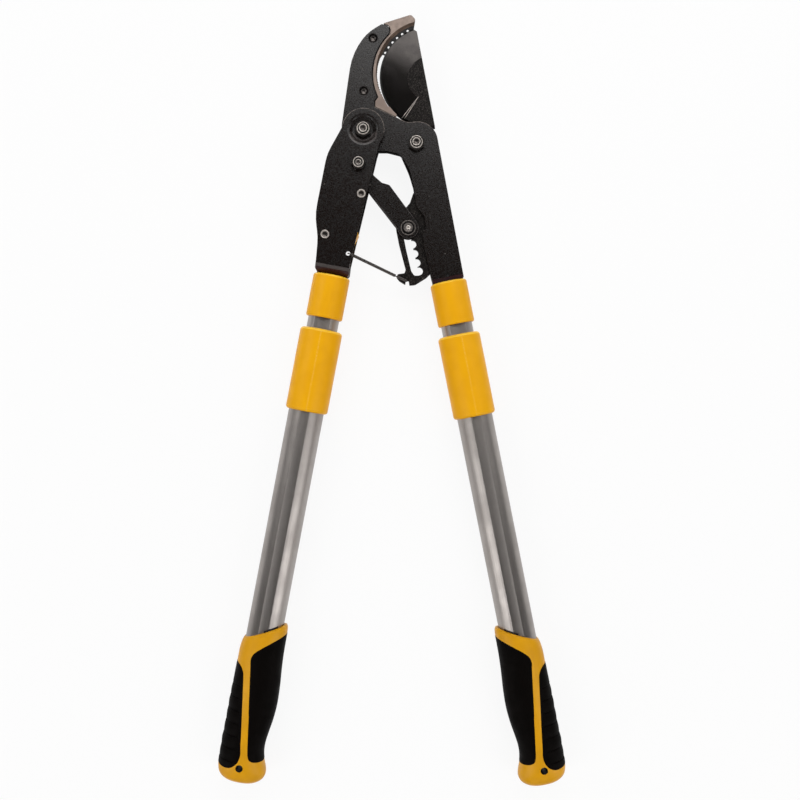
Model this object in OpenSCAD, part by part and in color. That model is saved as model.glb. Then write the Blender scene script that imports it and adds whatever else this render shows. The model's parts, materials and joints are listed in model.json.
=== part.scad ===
// Telescoping loppers with a ratchet-assisted blade, lying flat, jaws towards +Y.
// Millimetres. The head is built about its own middle plane, which lies mid_z above the floor.

/* [Head] */
// Thickness of the cutting blade
blade_t = 4; // [3.4:0.1:4]
// Thickness of the hook plate and of the rear leg plate
leg_t = 4; // [3:0.1:4]
// Thickness of each link plate
link_t = 3; // [2:0.1:3]
// Thickness of each left plate
side_t = 3; // [2.5:0.1:3]
// Pitch of the scallops along the counter-blade
scallop_pitch = 5.6; // [5:0.1:6]
// Radius of the main pivot bolt and of the blade bolt
bolt_r = 4; // [3.5:0.1:4]
// Radius of the link bolt
link_bolt_r = 3; // [2.5:0.1:3]
// Radius of the ratchet pin
pin_r = 2.9; // [2.4:0.1:2.9]

/* [Return spring] */
// Number of curls
spring_curls = 36; // [24:1:36]
// Outside diameter of the curls
spring_od = 2.5; // [2.2:0.1:2.6]
// Wire diameter
spring_wire = 0.5; // [0.4:0.05:0.5]

/* [Handles] */
// Tilt of the left handle from the Y axis, degrees
left_tilt = 10.7; // [10.5:0.05:11]
// Tilt of the right handle from the Y axis, degrees
right_tilt = 11.2; // [10.9:0.05:11.4]
// Outside radius of the inner tubes
inner_r = 14; // [13.8:0.1:14]
// Outside radius of the outer tubes
outer_r = 15.9; // [15.8:0.1:16]
// Wall of the outer tubes
outer_wall = 1.3; // [1.1:0.1:1.3]
// Wall of the inner tubes
inner_wall = 1.4; // [1.2:0.1:1.4]
// Outside radius of the upper collars
collar_r = 16.5; // [16.2:0.1:17]
// Outside radius of the lock collars
lock_r = 19; // [18.6:0.1:19.2]
// Depth of the rubber pads
pad_t = 1.6; // [1.2:0.1:1.6]
// Radius of the hang holes
hang_r = 3.3; // [2.5:0.1:3.5]

/* [Hidden] */

$fn = 64;
// Height of the head's middle plane above the floor
mid_z = 19.3;
// Shift that brings the middle of the outline to the origin
shift = [-1.17, 0.78];

// Pivots in the middle plane: main pivot, blade bolt, link bolt, ratchet pin
A = [-24.2, 240.4];
D = [23.2, 229.2];
B = [-28.3, 210.1];
C = [15.9, 153.6];
// Stop rivet, spacer rivet, spring hole, pin through the right leg, screws of the insert
stop_p = [-25.9, 183.3];
spacer_p = [-58.2, 147.1];
spring_p = [-37.7, 130];
leg_pin_p = [51.2, 111.7];
screw_p = [[-15.6, 323.3], [-23.9, 276.1]];
// Top middle of the upper collars, on the handle axes
left_o = [-52.7, 111.3];
right_o = [51.8, 105.6];
// How much further than the left one the right outer tube is pushed home
right_in = 3;
// How far the right lock collar is backed off along its tube
lock_off = 2;

// Layers, measured from the middle plane
blade_h = blade_t / 2;
leg_z = 2.3;
link_z = 2.6;
side_z = 12 - side_t;
dish_z = 6.6;
run = 0.06;
snug = 0.03;

// Stations along each handle, measured from the top of the upper collar
upper_len = 39;
tube_top = 18;
lock_top = 49.3;
lock_end = 124;
outer_top = 64.2;
outer_end = 440;
inner_end = 424;
hang_s = 445;
hang_x = 1.7;

// Arc of the cutting edge and arc of the counter-blade
edge_c = [36.8, 290.3];
edge_r = 46.6;
serr_c = [36.7, 289];
serr_r = 46;

black = [0.12, 0.11, 0.11];
steel = [0.62, 0.63, 0.65];
dark_steel = [0.3, 0.3, 0.31];
taupe = [0.62, 0.57, 0.53];
yellow = [0.92, 0.66, 0.1];
mustard = [0.88, 0.64, 0.11];
rubber = [0.06, 0.05, 0.05];
alloy = [0.66, 0.67, 0.69];

function unit(v) = v / norm(v);
function turn(a) = a > 180 ? a - 360 : (a < -180 ? a + 360 : a);
// Points of one corner b between a and c, rounded to radius r
function corner(a, b, c, r) = r <= 0 ? [b] :
    let (u = unit(a - b), v = unit(c - b), h = acos(u * v) / 2,
        m = b + unit(u + v) * (r / sin(h)),
        p = b + u * (r / tan(h)) - m, q = b + v * (r / tan(h)) - m,
        a0 = atan2(p[1], p[0]), w = turn(atan2(q[1], q[0]) - a0),
        n = max(2, ceil(abs(w) / 8)))
    [for (i = [0:n]) m + r * [cos(a0 + w * i / n), sin(a0 + w * i / n)]];
function xy(p) = [p[0], p[1]];
// An outline from corners [x, y, radius]
function rounded(k) = let (n = len(k)) [for (i = [0:n - 1])
    each corner(xy(k[(i + n - 1) % n]), xy(k[i]), xy(k[(i + 1) % n]), k[i][2])];

module slab(z0, z1, k) {
    translate([0, 0, z0]) linear_extrude(z1 - z0) polygon(rounded(k));
}
module rod(p, r, z0, z1) {
    translate([p[0], p[1], z0]) cylinder(r = r, h = z1 - z0);
}
module hexa(p, across, z0, z1) {
    translate([p[0], p[1], z0]) cylinder(r = across / 2 / cos(30), h = z1 - z0, $fn = 6);
}
module place() {
    translate([shift[0], shift[1], mid_z]) children();
}
// Handle frames: X points inwards, Y towards the viewer, Z down the handle
module left_axis() {
    translate([left_o[0], left_o[1], 0]) rotate([0, 0, -left_tilt]) rotate([90, 0, 0])
        children();
}
module right_axis() {
    mirror([1, 0, 0]) translate([-right_o[0], right_o[1], 0]) rotate([0, 0, -right_tilt])
        rotate([90, 0, 0]) children();
}
module right_home(off) {
    right_axis() translate([0, 0, off - right_in]) children();
}
module flip(rear) {
    mirror([0, 0, rear ? 1 : 0]) children();
}

// Hook, pivot ear and right leg
hook_k = [[-7.7, 336, 1.3], [-20.1, 328.6, 38], [-29.1, 317.1, 57], [-35.2, 303.3, 55],
    [-37.8, 286, 60], [-43.6, 246, 4], [-43.6, 221.5, 18], [-14, 222.4, 8], [-3, 222.3, 12],
    [9, 219.8, 12], [17.9, 204.8, 25], [21.8, 187, 25], [22.9, 173.2, 8], [30.6, 163.6, 4],
    [31.9, 153.5, 6], [28.9, 146.4, 3], [30.3, 136, 12], [38, 103.1, 0.5],
    [65.9, 108.6, 2], [39.1, 249.6, 18], [14.5, 248, 9], [-14.3, 261.8, 0.8],
    [-14.3, 267.1, 1.2], [-11.8, 270.6, 0.8], [-26.7, 302.4, 49], [-1.2, 327.2, 1.2],
    [-0.6, 330.2, 5], [-2, 334.2, 4.5]];
// The rear plate has the ear and the leg, without the hook
rear_k = [[-24, 258.4, 8], [-43.6, 258, 18], [-43.6, 221.5, 18], [-14, 222.7, 8],
    [-2.5, 222.7, 12], [9.3, 219.7, 3], [16.5, 203.6, 40], [20.5, 190.5, 15], [22.9, 173.2, 8],
    [30.6, 163.6, 4], [31.9, 153.5, 6], [28.9, 146.4, 3], [30.3, 136, 12],
    [38, 103.1, 0.5], [65.9, 108.6, 2], [39.1, 249.6, 18], [14.5, 248, 9],
    [-8, 257, 12]];
// Tongue of the insert behind the hook
tongue_k = [[-9.4, 272.8, 0], [-8.5, 263.5, 0], [0.5, 257, 0], [-1.5, 253.8, 0.5],
    [-16, 260.4, 1], [-18, 266.8, 1], [-31, 266.5, 4], [-30.5, 292, 20], [-24.5, 311, 12],
    [-18, 327.5, 3], [-9.5, 333.4, 2], [1.6, 334.2, 1], [2.2, 326.6, 1], [-3.1, 324.7, 0],
    [-11.4, 310.2, 0], [-14.3, 293.8, 0], [-11.4, 277.4, 0]];

module leg_neck(z0, z1) {
    right_axis() translate([-11.2, z0, -3]) cube([22.4, z1 - z0, 13]);
}

module hook_plate() color(black) place() difference() {
    union() {
        slab(leg_z, leg_z + leg_t, hook_k);
        leg_neck(leg_z, leg_z + leg_t);
    }
    slab(leg_z - 1, leg_z + 1.5, tongue_k);
    rod(A, bolt_r + snug, 0, 20);
    rod(D, bolt_r + snug, 0, 20);
    rod(leg_pin_p, 1.55, 0, 20);
    for (p = screw_p) {
        rod(p, 2.1, 0, 20);
        translate([p[0], p[1], leg_z + leg_t - 2]) cylinder(r1 = 2.1, r2 = 4.1, h = 2.05);
    }
}

module rear_leg_plate() color(black) place() difference() {
    union() {
        slab(-leg_z - leg_t, -leg_z, rear_k);
        leg_neck(-leg_z - leg_t, -leg_z);
    }
    rod(A, bolt_r + snug, -20, 0);
    rod(D, bolt_r + snug, -20, 0);
    rod(leg_pin_p, 1.55, -20, 0);
}

// Toothed counter-blade: a rim level with the hook plate and a tongue behind it
insert_k = [[-13.7, 262, 0.6], [-13.6, 266.9, 1], [-10.9, 270.4, 0.8],
    [-25.9, 302.4, 49.2], [-0.4, 326.9, 1], [0.3, 330.4, 5], [-1.2, 334.8, 4],
    [-7, 336.4, 0.4], [18.4, 344.4, 3], [22.3, 340.2, 3], [20.8, 331.4, 0.3],
    [14, 300, 0], [5.2, 252.8, 0]];
// Where the blade stands clear of the counter-blade
clear_k = [[5, 303, 0], [-7, 309.4, 0.5], [-9.2, 306.4, 4], [-11.3, 299.6, 12],
    [-12.2, 289.5, 14], [-10.4, 280.8, 20], [-7.2, 271.3, 20], [-2, 261.9, 0], [10, 262, 0]];
module hook_insert() color(taupe) place() difference() {
    union() {
        slab(leg_z, leg_z + leg_t - 0.2, insert_k);
        slab(leg_z, leg_z + 1.4, tongue_k);
    }
    translate([serr_c[0], serr_c[1], 0]) cylinder(r = serr_r, h = 20, $fn = 128);
    slab(0, 20, clear_k);
    for (i = [-1:4])
        let (a = 124 + i * scallop_pitch / serr_r * 180 / PI)
            translate(serr_c + (serr_r + 0.75) * [cos(a), sin(a)]) cylinder(r = 1.1, h = 20, $fn = 16);
    for (i = [0:14])
        let (a = 159 + i * 3.15)
            translate([30, 290.8] + 41.15 * [cos(a), sin(a)]) cylinder(r = 1.1, h = 20, $fn = 12);
    translate([33.2, 293.2, leg_z + 0.9]) cylinder(r1 = 44, r2 = 46.2, h = 3, $fn = 128);
    for (p = screw_p) rod(p, 2.03, 0, 20);
}

module hook_screws() color(dark_steel) place() for (p = screw_p) difference() {
    union() {
        rod(p, 2, leg_z + 0.1, leg_z + leg_t - 1.8);
        translate([p[0], p[1], leg_z + leg_t - 1.9]) cylinder(r1 = 2, r2 = 3.75, h = 1.75);
    }
    hexa(p, 2.5, leg_z + leg_t - 1.5, leg_z + leg_t + 1);
}

module leg_pin() color(dark_steel) place()
    rod(leg_pin_p, 1.5, -leg_z - leg_t + 0.3, leg_z + leg_t - 0.5);

module headed_bolt(p, r, across, head_z, head_h, end_z) {
    rod(p, r, -head_z - 0.5, end_z - 0.8);
    translate([p[0], p[1], end_z - 0.8]) cylinder(r1 = r, r2 = r - 0.8, h = 0.8);
    hexa(p, across, -head_z - head_h, -head_z);
}
module pivot_bolt() color(dark_steel) place()
    headed_bolt(A, bolt_r, 13, dish_z + side_t + 0.3, 5.3, 17.6);
module blade_bolt() color(dark_steel) place()
    headed_bolt(D, bolt_r, 13, leg_z + leg_t + 0.05, 5.3, 14.2);

module lock_nut(p, r, across, z0) {
    difference() {
        union() {
            intersection() {
                hexa(p, across, z0, z0 + 5);
                translate([p[0], p[1], z0]) cylinder(r1 = across / 2 + 5.4, r2 = across / 2, h = 5.4);
            }
            rod(p, across / 2 - 0.7, z0, z0 + 7);
        }
        rod(p, r + snug, z0 - 1, z0 + 20);
        translate([p[0], p[1], z0 + 6.2]) cylinder(r1 = r + snug, r2 = r + 1, h = 0.9);
    }
}
module lock_nuts() color(dark_steel) place() {
    lock_nut(A, bolt_r, 13, dish_z + side_t + 0.3);
    lock_nut(D, bolt_r, 13, leg_z + leg_t + 0.05);
}

module pivot_spacer() color(steel) place() difference() {
    rod(A, 8, -leg_z + 0.02, leg_z - 0.02);
    rod(A, bolt_r + snug, -10, 10);
}

// Cutting blade: ground jaw, ear round the blade bolt, tail with ratchet teeth and spring foot
jaw_k = [[-20, 345, 0], [19.8, 345, 0], [20.4, 332.8, 1], [23.7, 330.8, 1.5],
    [43.9, 224.4, 2], [36, 226, 0], [12, 226, 0], [7, 243, 6], [3.5, 257, 0], [-20, 257, 0]];
tail_k = [[9, 226, 0], [15, 216, 0], [20.5, 203, 0], [23.5, 190, 6], [20.2, 184.6, 3],
    [17.4, 176.4, 5], [8.5, 166, 8], [4.8, 153.5, 8], [7.8, 138.5, 30], [13.6, 116.6, 1.5],
    [12.6, 113.4, 1], [6.4, 112.6, 1.5], [5.4, 109.4, 1.5], [7.8, 106.4, 2],
    [13.3, 102.9, 0.5], [13.6, 105.9, 0.8], [16.4, 106.5, 0.8], [17, 102.4, 0.6],
    [22, 102.8, 5], [32, 109, 6], [37.5, 114.5, 4], [41.5, 136, 20], [40.5, 170, 40],
    [37, 206, 20], [40, 229, 0]];
slot_k = [[11.6, 152, 0], [12.3, 143.6, 6], [14.2, 134, 20], [18.7, 115.2, 3],
    [21.4, 111.2, 2.5], [27.5, 111.4, 1.5], [24.5, 118, 0], [18.6, 143.4, 0],
    [19.7, 152, 0]];
tooth_p = [[19.6, 139.2], [21.4, 130.9], [23.4, 122.7], [25.5, 115.2]];
module blade() color(dark_steel) place() difference() {
    union() {
        intersection() {
            translate([edge_c[0], edge_c[1], -blade_h])
                cylinder(r1 = edge_r, r2 = edge_r - 1.6, h = blade_t, $fn = 128);
            slab(-blade_h, blade_h, jaw_k);
        }
        rod(D, 17.4, -blade_h, blade_h);
        slab(-blade_h, blade_h, tail_k);
    }
    difference() {
        slab(blade_h - 0.35, blade_h + 1, [[-20, 345, 0], [30, 345, 0], [44, 250, 0],
            [40, 290, 0], [24.9, 272.6, 4], [9.6, 251.4, 0], [-20, 252, 0]]);
        rod([35.4, 288.4], 20, 0, 10);
    }
    rod(D, bolt_r + run, -10, 10);
    rod(C, 4.75, -10, 10);
    slab(-10, 10, slot_k);
    for (p = tooth_p) rod(p, 3.6, -10, 10);
}

// Left plates: dished round the main pivot, the lower end rolled in over the plug
side_k = [[-41, 246, 0], [-56.5, 218.2, 45], [-67.2, 163.9, 60], [-64.5, 144.7, 55],
    [-66.3, 124.5, 12], [-67.3, 117.6, 2.5], [-65.3, 113.9, 2],
    [-37.2, 108.5, 3], [-36.2, 119.3, 20], [-12.2, 219.3, 30], [-6.4, 238, 0], [-24, 250, 0]];
module side_plate(rear) {
    flip(rear) difference() {
        union() {
            difference() {
                intersection() {
                    union() {
                        slab(0, 12, side_k);
                        rod(A, 18.9, 0, 12);
                    }
                    union() {
                        left_axis() translate([-60, side_z, -160]) cube([120, side_t, 150.7]);
                        left_axis() intersection() {
                            difference() {
                                translate([-60, 3, -9.3]) rotate([0, 90, 0])
                                    cylinder(r = 9, h = 120);
                                translate([-61, 3, -9.3]) rotate([0, 90, 0])
                                    cylinder(r = 9 - side_t, h = 122);
                            }
                            translate([-60, 3, -9.31]) cube([120, 12, 9]);
                        }
                    }
                }
                rod(A, 13.2, 0, 20);
            }
            translate([A[0], A[1], 0]) rotate_extrude() polygon([[0, dish_z], [10, dish_z],
                [13.3, side_z], [13.3, 12], [12.9, 12], [9.6, dish_z + side_t],
                [0, dish_z + side_t]]);
        }
        rod(A, bolt_r + run, 0, 30);
        rod(B, link_bolt_r + snug, 0, 30);
        rod(stop_p, 2.95, 0, 30);
        rod(spacer_p, 2.95, 0, 30);
        rod(spring_p + (rear ? [-1.1, 2.9] : [0, 0]), rear ? 3.3 : 2, 0, 30);
    }
}
module left_front_plate() color(black) place() side_plate(false);
module left_rear_plate() color(black) place() side_plate(true);

module plate_rivets() color(black) place() for (p = [stop_p, spacer_p]) difference() {
    union() {
        rod(p, 2.9, -12.9, 12.9);
        rod(p, 4, -side_z + 0.05, side_z - 0.05);
        for (m = [0, 1]) mirror([0, 0, m]) translate([p[0], p[1], 12.05])
            cylinder(r1 = 4, r2 = 3.3, h = 1);
    }
    rod(p, 1.9, 11.5, 20);
    rod(p, 1.9, -20, -11.5);
}

module link_bolt() color(dark_steel) place()
    headed_bolt(B, link_bolt_r, 10, 12.05, 4, 17.6);
module link_nut() color(dark_steel) place() lock_nut(B, link_bolt_r, 10, 12.05);
module link_washers() color(steel) place() for (m = [0, 1]) mirror([0, 0, m]) difference() {
    rod(B, 7, link_z + link_t + 0.3, side_z - 0.03);
    rod(B, link_bolt_r + snug, 0, 20);
}

// Link plates: straight sides, relieved where they pass the left plates' rivets
link_len = norm(C - B);
link_a = atan2(C[1] - B[1], C[0] - B[0]);
link_k = [[0, 5, 0], [16, 4.6, 20], [25.4, 6.4, 4], [31, 10.5, 3], [link_len, 9.3, 0],
    [link_len, -8, 0], [14, -7.9, 3], [9, -5.3, 3], [0, -5.3, 0]];
module link_plate(rear) {
    flip(rear) translate([B[0], B[1], 0]) rotate([0, 0, link_a]) difference() {
        union() {
            slab(link_z, link_z + link_t, link_k);
            rod([0, 0], 8.5, link_z, link_z + link_t);
            rod([link_len, 0], 9.3, link_z, link_z + link_t);
        }
        rod([0, 0], link_bolt_r + run, 0, 20);
        rod([link_len, 0], pin_r + snug, 0, 20);
    }
}
module link_front_plate() color(black) place() link_plate(false);
module link_rear_plate() color(black) place() link_plate(true);
module link_sleeve() color(steel) place() difference() {
    rod(B, 5.5, -link_z + 0.05, link_z - 0.05);
    rod(B, link_bolt_r + run, -10, 10);
}
module ratchet_pin() color(dark_steel) place() {
    rod(C, pin_r, -7.5, 7.5);
    for (m = [0, 1]) mirror([0, 0, m]) difference() {
        translate([C[0], C[1], 6.95]) cylinder(r1 = 4.3, r2 = 3.4, h = 1.6);
        rod(C, 1.8, 7.6, 10);
    }
}
module pin_washers() color(steel) place() for (m = [0, 1]) mirror([0, 0, m]) difference() {
    rod(C, 7, link_z + link_t + 0.03, 6.9);
    rod(C, pin_r + snug, 0, 20);
}

// Return spring: the wire stands in the left plate's hole, runs over the plate's edge, curls,
// and ends straight at the hook bar
spring_a = -24.5;
coil_x0 = 6.6;
coil_x1 = 42.8;
coil_z0 = 13.3;
coil_z1 = 4.7;
bar_x = 47.6;
bar_z = 3.3;
coil_r = (spring_od - spring_wire) / 2;
coil_n = spring_curls * 8;
slope = atan2(coil_z1 - coil_z0, coil_x1 - coil_x0);
// Point of the coil at fraction t; the curl swells from the axis at both ends
function coil(t) = let (w = t * spring_curls * 360,
    r = coil_r * min(1, t * spring_curls / 0.7, (1 - t) * spring_curls / 0.7))
    [coil_x0 + t * (coil_x1 - coil_x0) - r * cos(w) * sin(slope), r * sin(w),
    coil_z0 + t * (coil_z1 - coil_z0) + r * cos(w) * cos(slope)];
near_path = [[0, 0, 9.6], [0, 0, 12.6], [0.25, 0, 13.3], [1, 0, 13.7], [2, 0, 13.75],
    [4.6, 0, 13.6]];
far_path = [[44.4, 0, 4.2], [45.6, 0, 3.7], [46.6, 0, bar_z], [bar_x - 0.08, 0, bar_z]];
spring_path = concat(near_path, [for (i = [0:coil_n]) coil(i / coil_n)], far_path);
path_n = len(spring_path);
function ahead(i) = unit(spring_path[min(i + 1, path_n - 1)] - spring_path[max(i - 1, 0)]);
function level(e, d) = unit(e - (e * d) * d);
// Cross direction of the wire at each point, carried along the path without a twist
wire_e = [for (i = 0, e = [0, 1, 0]; i < path_n; i = i + 1,
    e = level(e, ahead(min(i, path_n - 1)))) e];
function ring(i) = let (e = wire_e[i], f = cross(ahead(i), e))
    [for (j = [0:5]) spring_path[i]
        + spring_wire / 2 * (cos(60 * j) * e + sin(60 * j) * f)];
// Least gap of the wire to itself, between points at least half a curl apart along the coil
wire_gap = min([for (i = [6:path_n - 12]) for (j = [i + 5:min(i + 22, path_n - 1)])
    norm(spring_path[i] - spring_path[j])]) - spring_wire;
echo(spring_curls = spring_curls, least_gap_of_the_spring_to_itself = wire_gap);
module spring_frame() {
    translate([spring_p[0], spring_p[1], 0]) rotate([0, 0, spring_a]) children();
}
module return_spring() color(steel) place() spring_frame() polyhedron(
    points = [for (i = [0:path_n - 1]) each ring(i)],
    faces = concat([[5, 4, 3, 2, 1, 0]],
        [for (i = [0:path_n - 2]) for (j = [0:5]) let (k = (j + 1) % 6)
            each [[6 * i + j, 6 * i + k, 6 * i + 6 + k], [6 * i + j, 6 * i + 6 + k, 6 * i + 6 + j]]],
        [[for (j = [0:5]) 6 * (path_n - 1) + j]]));
module spring_hook() color(steel) place() spring_frame() intersection() {
    translate([bar_x, 0, bar_z]) rotate([0, 90, 0]) cylinder(r = 1.1, h = 9.8);
    translate([bar_x, -2, bar_z - 0.8]) cube([9.8, 4, 1.6]);
}

// Tubes: round, with a shallow flute along the front and one along the back
module fluted(r, cut_r, cut_y, s0, s1) {
    difference() {
        translate([0, 0, s0]) cylinder(r = r, h = s1 - s0);
        for (m = [0, 1]) mirror([0, m, 0]) translate([0, cut_y, s0 - 1])
            cylinder(r = cut_r, h = s1 - s0 + 2);
    }
}
module inner_tube() difference() {
    fluted(inner_r, 40, 51.5, tube_top, inner_end);
    fluted(inner_r - inner_wall, 40 + inner_wall, 51.5, tube_top - 1, inner_end + 1);
}
module outer_tube() difference() {
    fluted(outer_r, 9.7, 24, outer_top, outer_end);
    fluted(outer_r - outer_wall, 9.7 + outer_wall, 24, outer_top - 1, outer_end + 1);
}
module guide() {
    intersection() {
        translate([0, 0, inner_end + 0.1]) cylinder(r = inner_r + 0.2, h = 9.8);
        translate([-20, -12.5, inner_end]) cube([40, 25, 12]);
    }
    translate([0, 0, inner_end - 14]) cylinder(r = 9.8, h = 16);
}
// Turned sleeve from s0 to s1 with rounded outer corners
module sleeve(r, bore, round_r, s0, s1) {
    difference() {
        rotate_extrude() polygon(rounded([[bore, s0, 0], [r, s0, round_r], [r, s1, round_r],
            [bore, s1, 0]]));
        translate([0, 0, s0 - 1]) cylinder(r = bore, h = s1 - s0 + 2);
    }
}
module upper_collar() difference() {
    sleeve(collar_r, inner_r - 1, 2.2, 0, upper_len);
    translate([0, 0, -1]) cylinder(r = inner_r + snug, h = upper_len + 2);
}
module lock_collar() difference() {
    sleeve(lock_r, 12, 3.4, lock_top, lock_end);
    translate([0, 0, lock_top - 1]) cylinder(r = inner_r + 0.4, h = 80);
    translate([0, 0, 54]) cylinder(r = 17.75, h = 10.5);
    translate([0, 0, 60]) cylinder(r = outer_r + 0.35, h = 80);
}
module collet() difference() {
    translate([0, 0, 56.4]) cylinder(r = 17.4, h = outer_top - 56.45);
    translate([0, 0, 50]) cylinder(r = inner_r + 0.35, h = 20);
}

module left_inner_tube() color(alloy) place() left_axis() inner_tube();
module right_inner_tube() color(alloy) place() right_axis() inner_tube();
module left_outer_tube() color(alloy) place() left_axis() outer_tube();
module right_outer_tube() color(alloy) place() right_home(0) outer_tube();
module left_guide() color(rubber) place() left_axis() guide();
module right_guide() color(rubber) place() right_axis() guide();
module left_upper_collar() color(yellow) place() left_axis() upper_collar();
module right_upper_collar() color(yellow) place() right_axis() upper_collar();
module left_lock_collar() color(yellow) place() left_axis() lock_collar();
module right_lock_collar() color(yellow) place() right_home(lock_off) lock_collar();
module left_collet() color(rubber) place() left_axis() collet();
module right_collet() color(rubber) place() right_home(0) collet();

module spigot(s0) {
    translate([0, 0, s0]) cylinder(r = inner_r - 0.1, h = tube_top - 0.1 - s0);
    translate([0, 0, tube_top - 1]) cylinder(r = 10, h = 45);
}
// Left plug: a block between the left plates, a flat neck between their rolled ends, a spigot
plug_k = [[-33.5, 157, 3], [-28.3, 147.8, 2.5], [-32.3, 140.5, 2], [-38.5, 122, 0],
    [-65, 127, 0], [-63, 157, 4]];
module left_plug() color(yellow) place() difference() {
    union() {
        slab(-8.7, 8.7, plug_k);
        left_axis() translate([-13.8, -2.6, -14]) cube([27.6, 5.2, 15]);
        left_axis() spigot(0.1);
    }
    rod(spacer_p, 4.1, -20, 20);
    rod(spring_p + [-0.6, 1.6], 4.3, -20, 20);
}
// Right plug: a tang between the leg plates and a spigot
tang_k = [[47.5, 99, 0], [49, 124, 2], [60.5, 127, 3], [65, 103, 2], [66, 92, 0], [48, 90, 0]];
module right_plug() color(yellow) place() difference() {
    union() {
        intersection() {
            slab(-2.2, 2.2, tang_k);
            right_axis() translate([-12, -3, -40]) cube([24, 6, 52]);
        }
        right_axis() spigot(10.2);
    }
    rod(leg_pin_p, 1.55, -20, 20);
}

// Grips: sections [station, outer half width, inner half width, half depth, lean of the section]
grip_k = [[324, 16.7, 16.9, 16.7, -0.49], [325, 17.6, 18.6, 17.6, -0.49],
    [328.5, 18.5, 19.9, 18.3, -0.46], [336, 19.2, 20.1, 18.8, -0.36],
    [346, 19.3, 20.3, 19, -0.22], [358, 19.2, 21.1, 19.2, -0.1],
    [372, 19.3, 22.4, 19.3, -0.03], [388, 19.5, 23, 19.3, 0], [402, 19.4, 22, 19.3, 0],
    [414, 19.4, 20.2, 19.2, 0], [424, 19.6, 19, 19.1, 0], [432, 19.4, 19.3, 19, 0],
    [439.5, 19.3, 21.1, 18.9, 0], [446, 19.3, 23.6, 18.6, 0], [450.6, 18.6, 24.4, 18, 0],
    [454.8, 17, 23, 16.8, 0], [457.9, 13.8, 19.6, 14.4, 0], [459.9, 9, 15, 10.5, 0],
    [460.8, 2.5, 9, 5, 0]];
grip_n = 28;
function power(v) = sign(v) * pow(abs(v), 0.88);
function section(k, inset) = [for (j = [0:grip_n - 1])
    let (a = 360 * j / grip_n, m = (k[2] - k[1]) / 2, h = (k[1] + k[2]) / 2 - inset,
        x = m + h * power(cos(a)))
    [x, (k[3] - inset) * power(sin(a)), k[0] + k[4] * x]];
module grip_body(inset) {
    n = len(grip_k);
    polyhedron(points = [for (k = grip_k) each section(k, inset)],
        faces = concat([[for (j = [0:grip_n - 1]) j]],
            [for (i = [0:n - 2]) for (j = [0:grip_n - 1])
                let (p = grip_n * i + j, q = grip_n * i + (j + 1) % grip_n)
                each [[p, p + grip_n, q + grip_n], [p, q + grip_n, q]]],
            [[for (j = [grip_n - 1:-1:0]) grip_n * (n - 1) + j]]));
}
palm_k = [[40, 316, 0], [21, 323.6, 0], [11.5, 331.3, 0], [3.6, 337.8, 8], [-4.6, 347.2, 8],
    [-3, 358, 20], [2.8, 394.7, 0], [8.2, 433, 2], [11, 438.2, 3], [18, 439.2, 3], [40, 434, 0]];
finger_k = [[-40, 349, 0], [-16.9, 353.9, 0], [-10.8, 359.6, 4], [-8.2, 373, 10],
    [-1.7, 417, 0], [0.6, 433, 6], [-2, 443, 6], [-9.5, 448.6, 5], [-40, 444, 0]];
module pad_region(k, less) {
    rotate([90, 0, 0]) translate([0, 0, -30]) linear_extrude(60) offset(delta = -less)
        polygon(rounded(k));
}
module grip_core() difference() {
    grip_body(0);
    difference() {
        union() {
            pad_region(palm_k, 0);
            pad_region(finger_k, 0);
        }
        grip_body(pad_t);
    }
    translate([0, 0, 300]) cylinder(r = outer_r + 0.1, h = outer_end + 0.4 - 300);
    translate([hang_x, 0, hang_s]) rotate([90, 0, 0]) translate([0, 0, -30])
        cylinder(r = hang_r, h = 60);
}
module pad(k) difference() {
    intersection() {
        grip_body(0);
        pad_region(k, 0.06);
    }
    grip_body(pad_t - 0.06);
}
module palm_pad() pad(palm_k);
module finger_pad() difference() {
    pad(finger_k);
    difference() {
        for (i = [0:6]) translate([-30, -30, 372.4 + 11.2 * i]) cube([40, 60, 1.5]);
        grip_body(1);
    }
}
module left_grip_core() color(mustard) place() left_axis() grip_core();
module right_grip_core() color(mustard) place() right_home(0) grip_core();
module left_palm_pad() color(rubber) place() left_axis() palm_pad();
module right_palm_pad() color(rubber) place() right_home(0) palm_pad();
module left_finger_pad() color(rubber) place() left_axis() finger_pad();
module right_finger_pad() color(rubber) place() right_home(0) finger_pad();

hook_plate();
rear_leg_plate();
hook_insert();
hook_screws();
leg_pin();
pivot_bolt();
blade_bolt();
lock_nuts();
pivot_spacer();
blade();
left_front_plate();
left_rear_plate();
plate_rivets();
link_bolt();
link_nut();
link_washers();
left_plug();
left_upper_collar();
left_inner_tube();
left_guide();
right_plug();
right_upper_collar();
right_inner_tube();
right_guide();
link_front_plate();
link_rear_plate();
link_sleeve();
ratchet_pin();
pin_washers();
return_spring();
spring_hook();
left_outer_tube();
left_collet();
left_lock_collar();
left_grip_core();
left_palm_pad();
left_finger_pad();
right_outer_tube();
right_collet();
right_lock_collar();
right_grip_core();
right_palm_pad();
right_finger_pad();
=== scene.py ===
"""Telescoping ratchet loppers: shapes, finishes, studio light and camera."""
import json
import logging
import math
from dataclasses import dataclass
from enum import Enum
from typing import Callable, Sequence

import bmesh
import bpy
import numpy as np
from mathutils import Matrix, Vector


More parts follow.
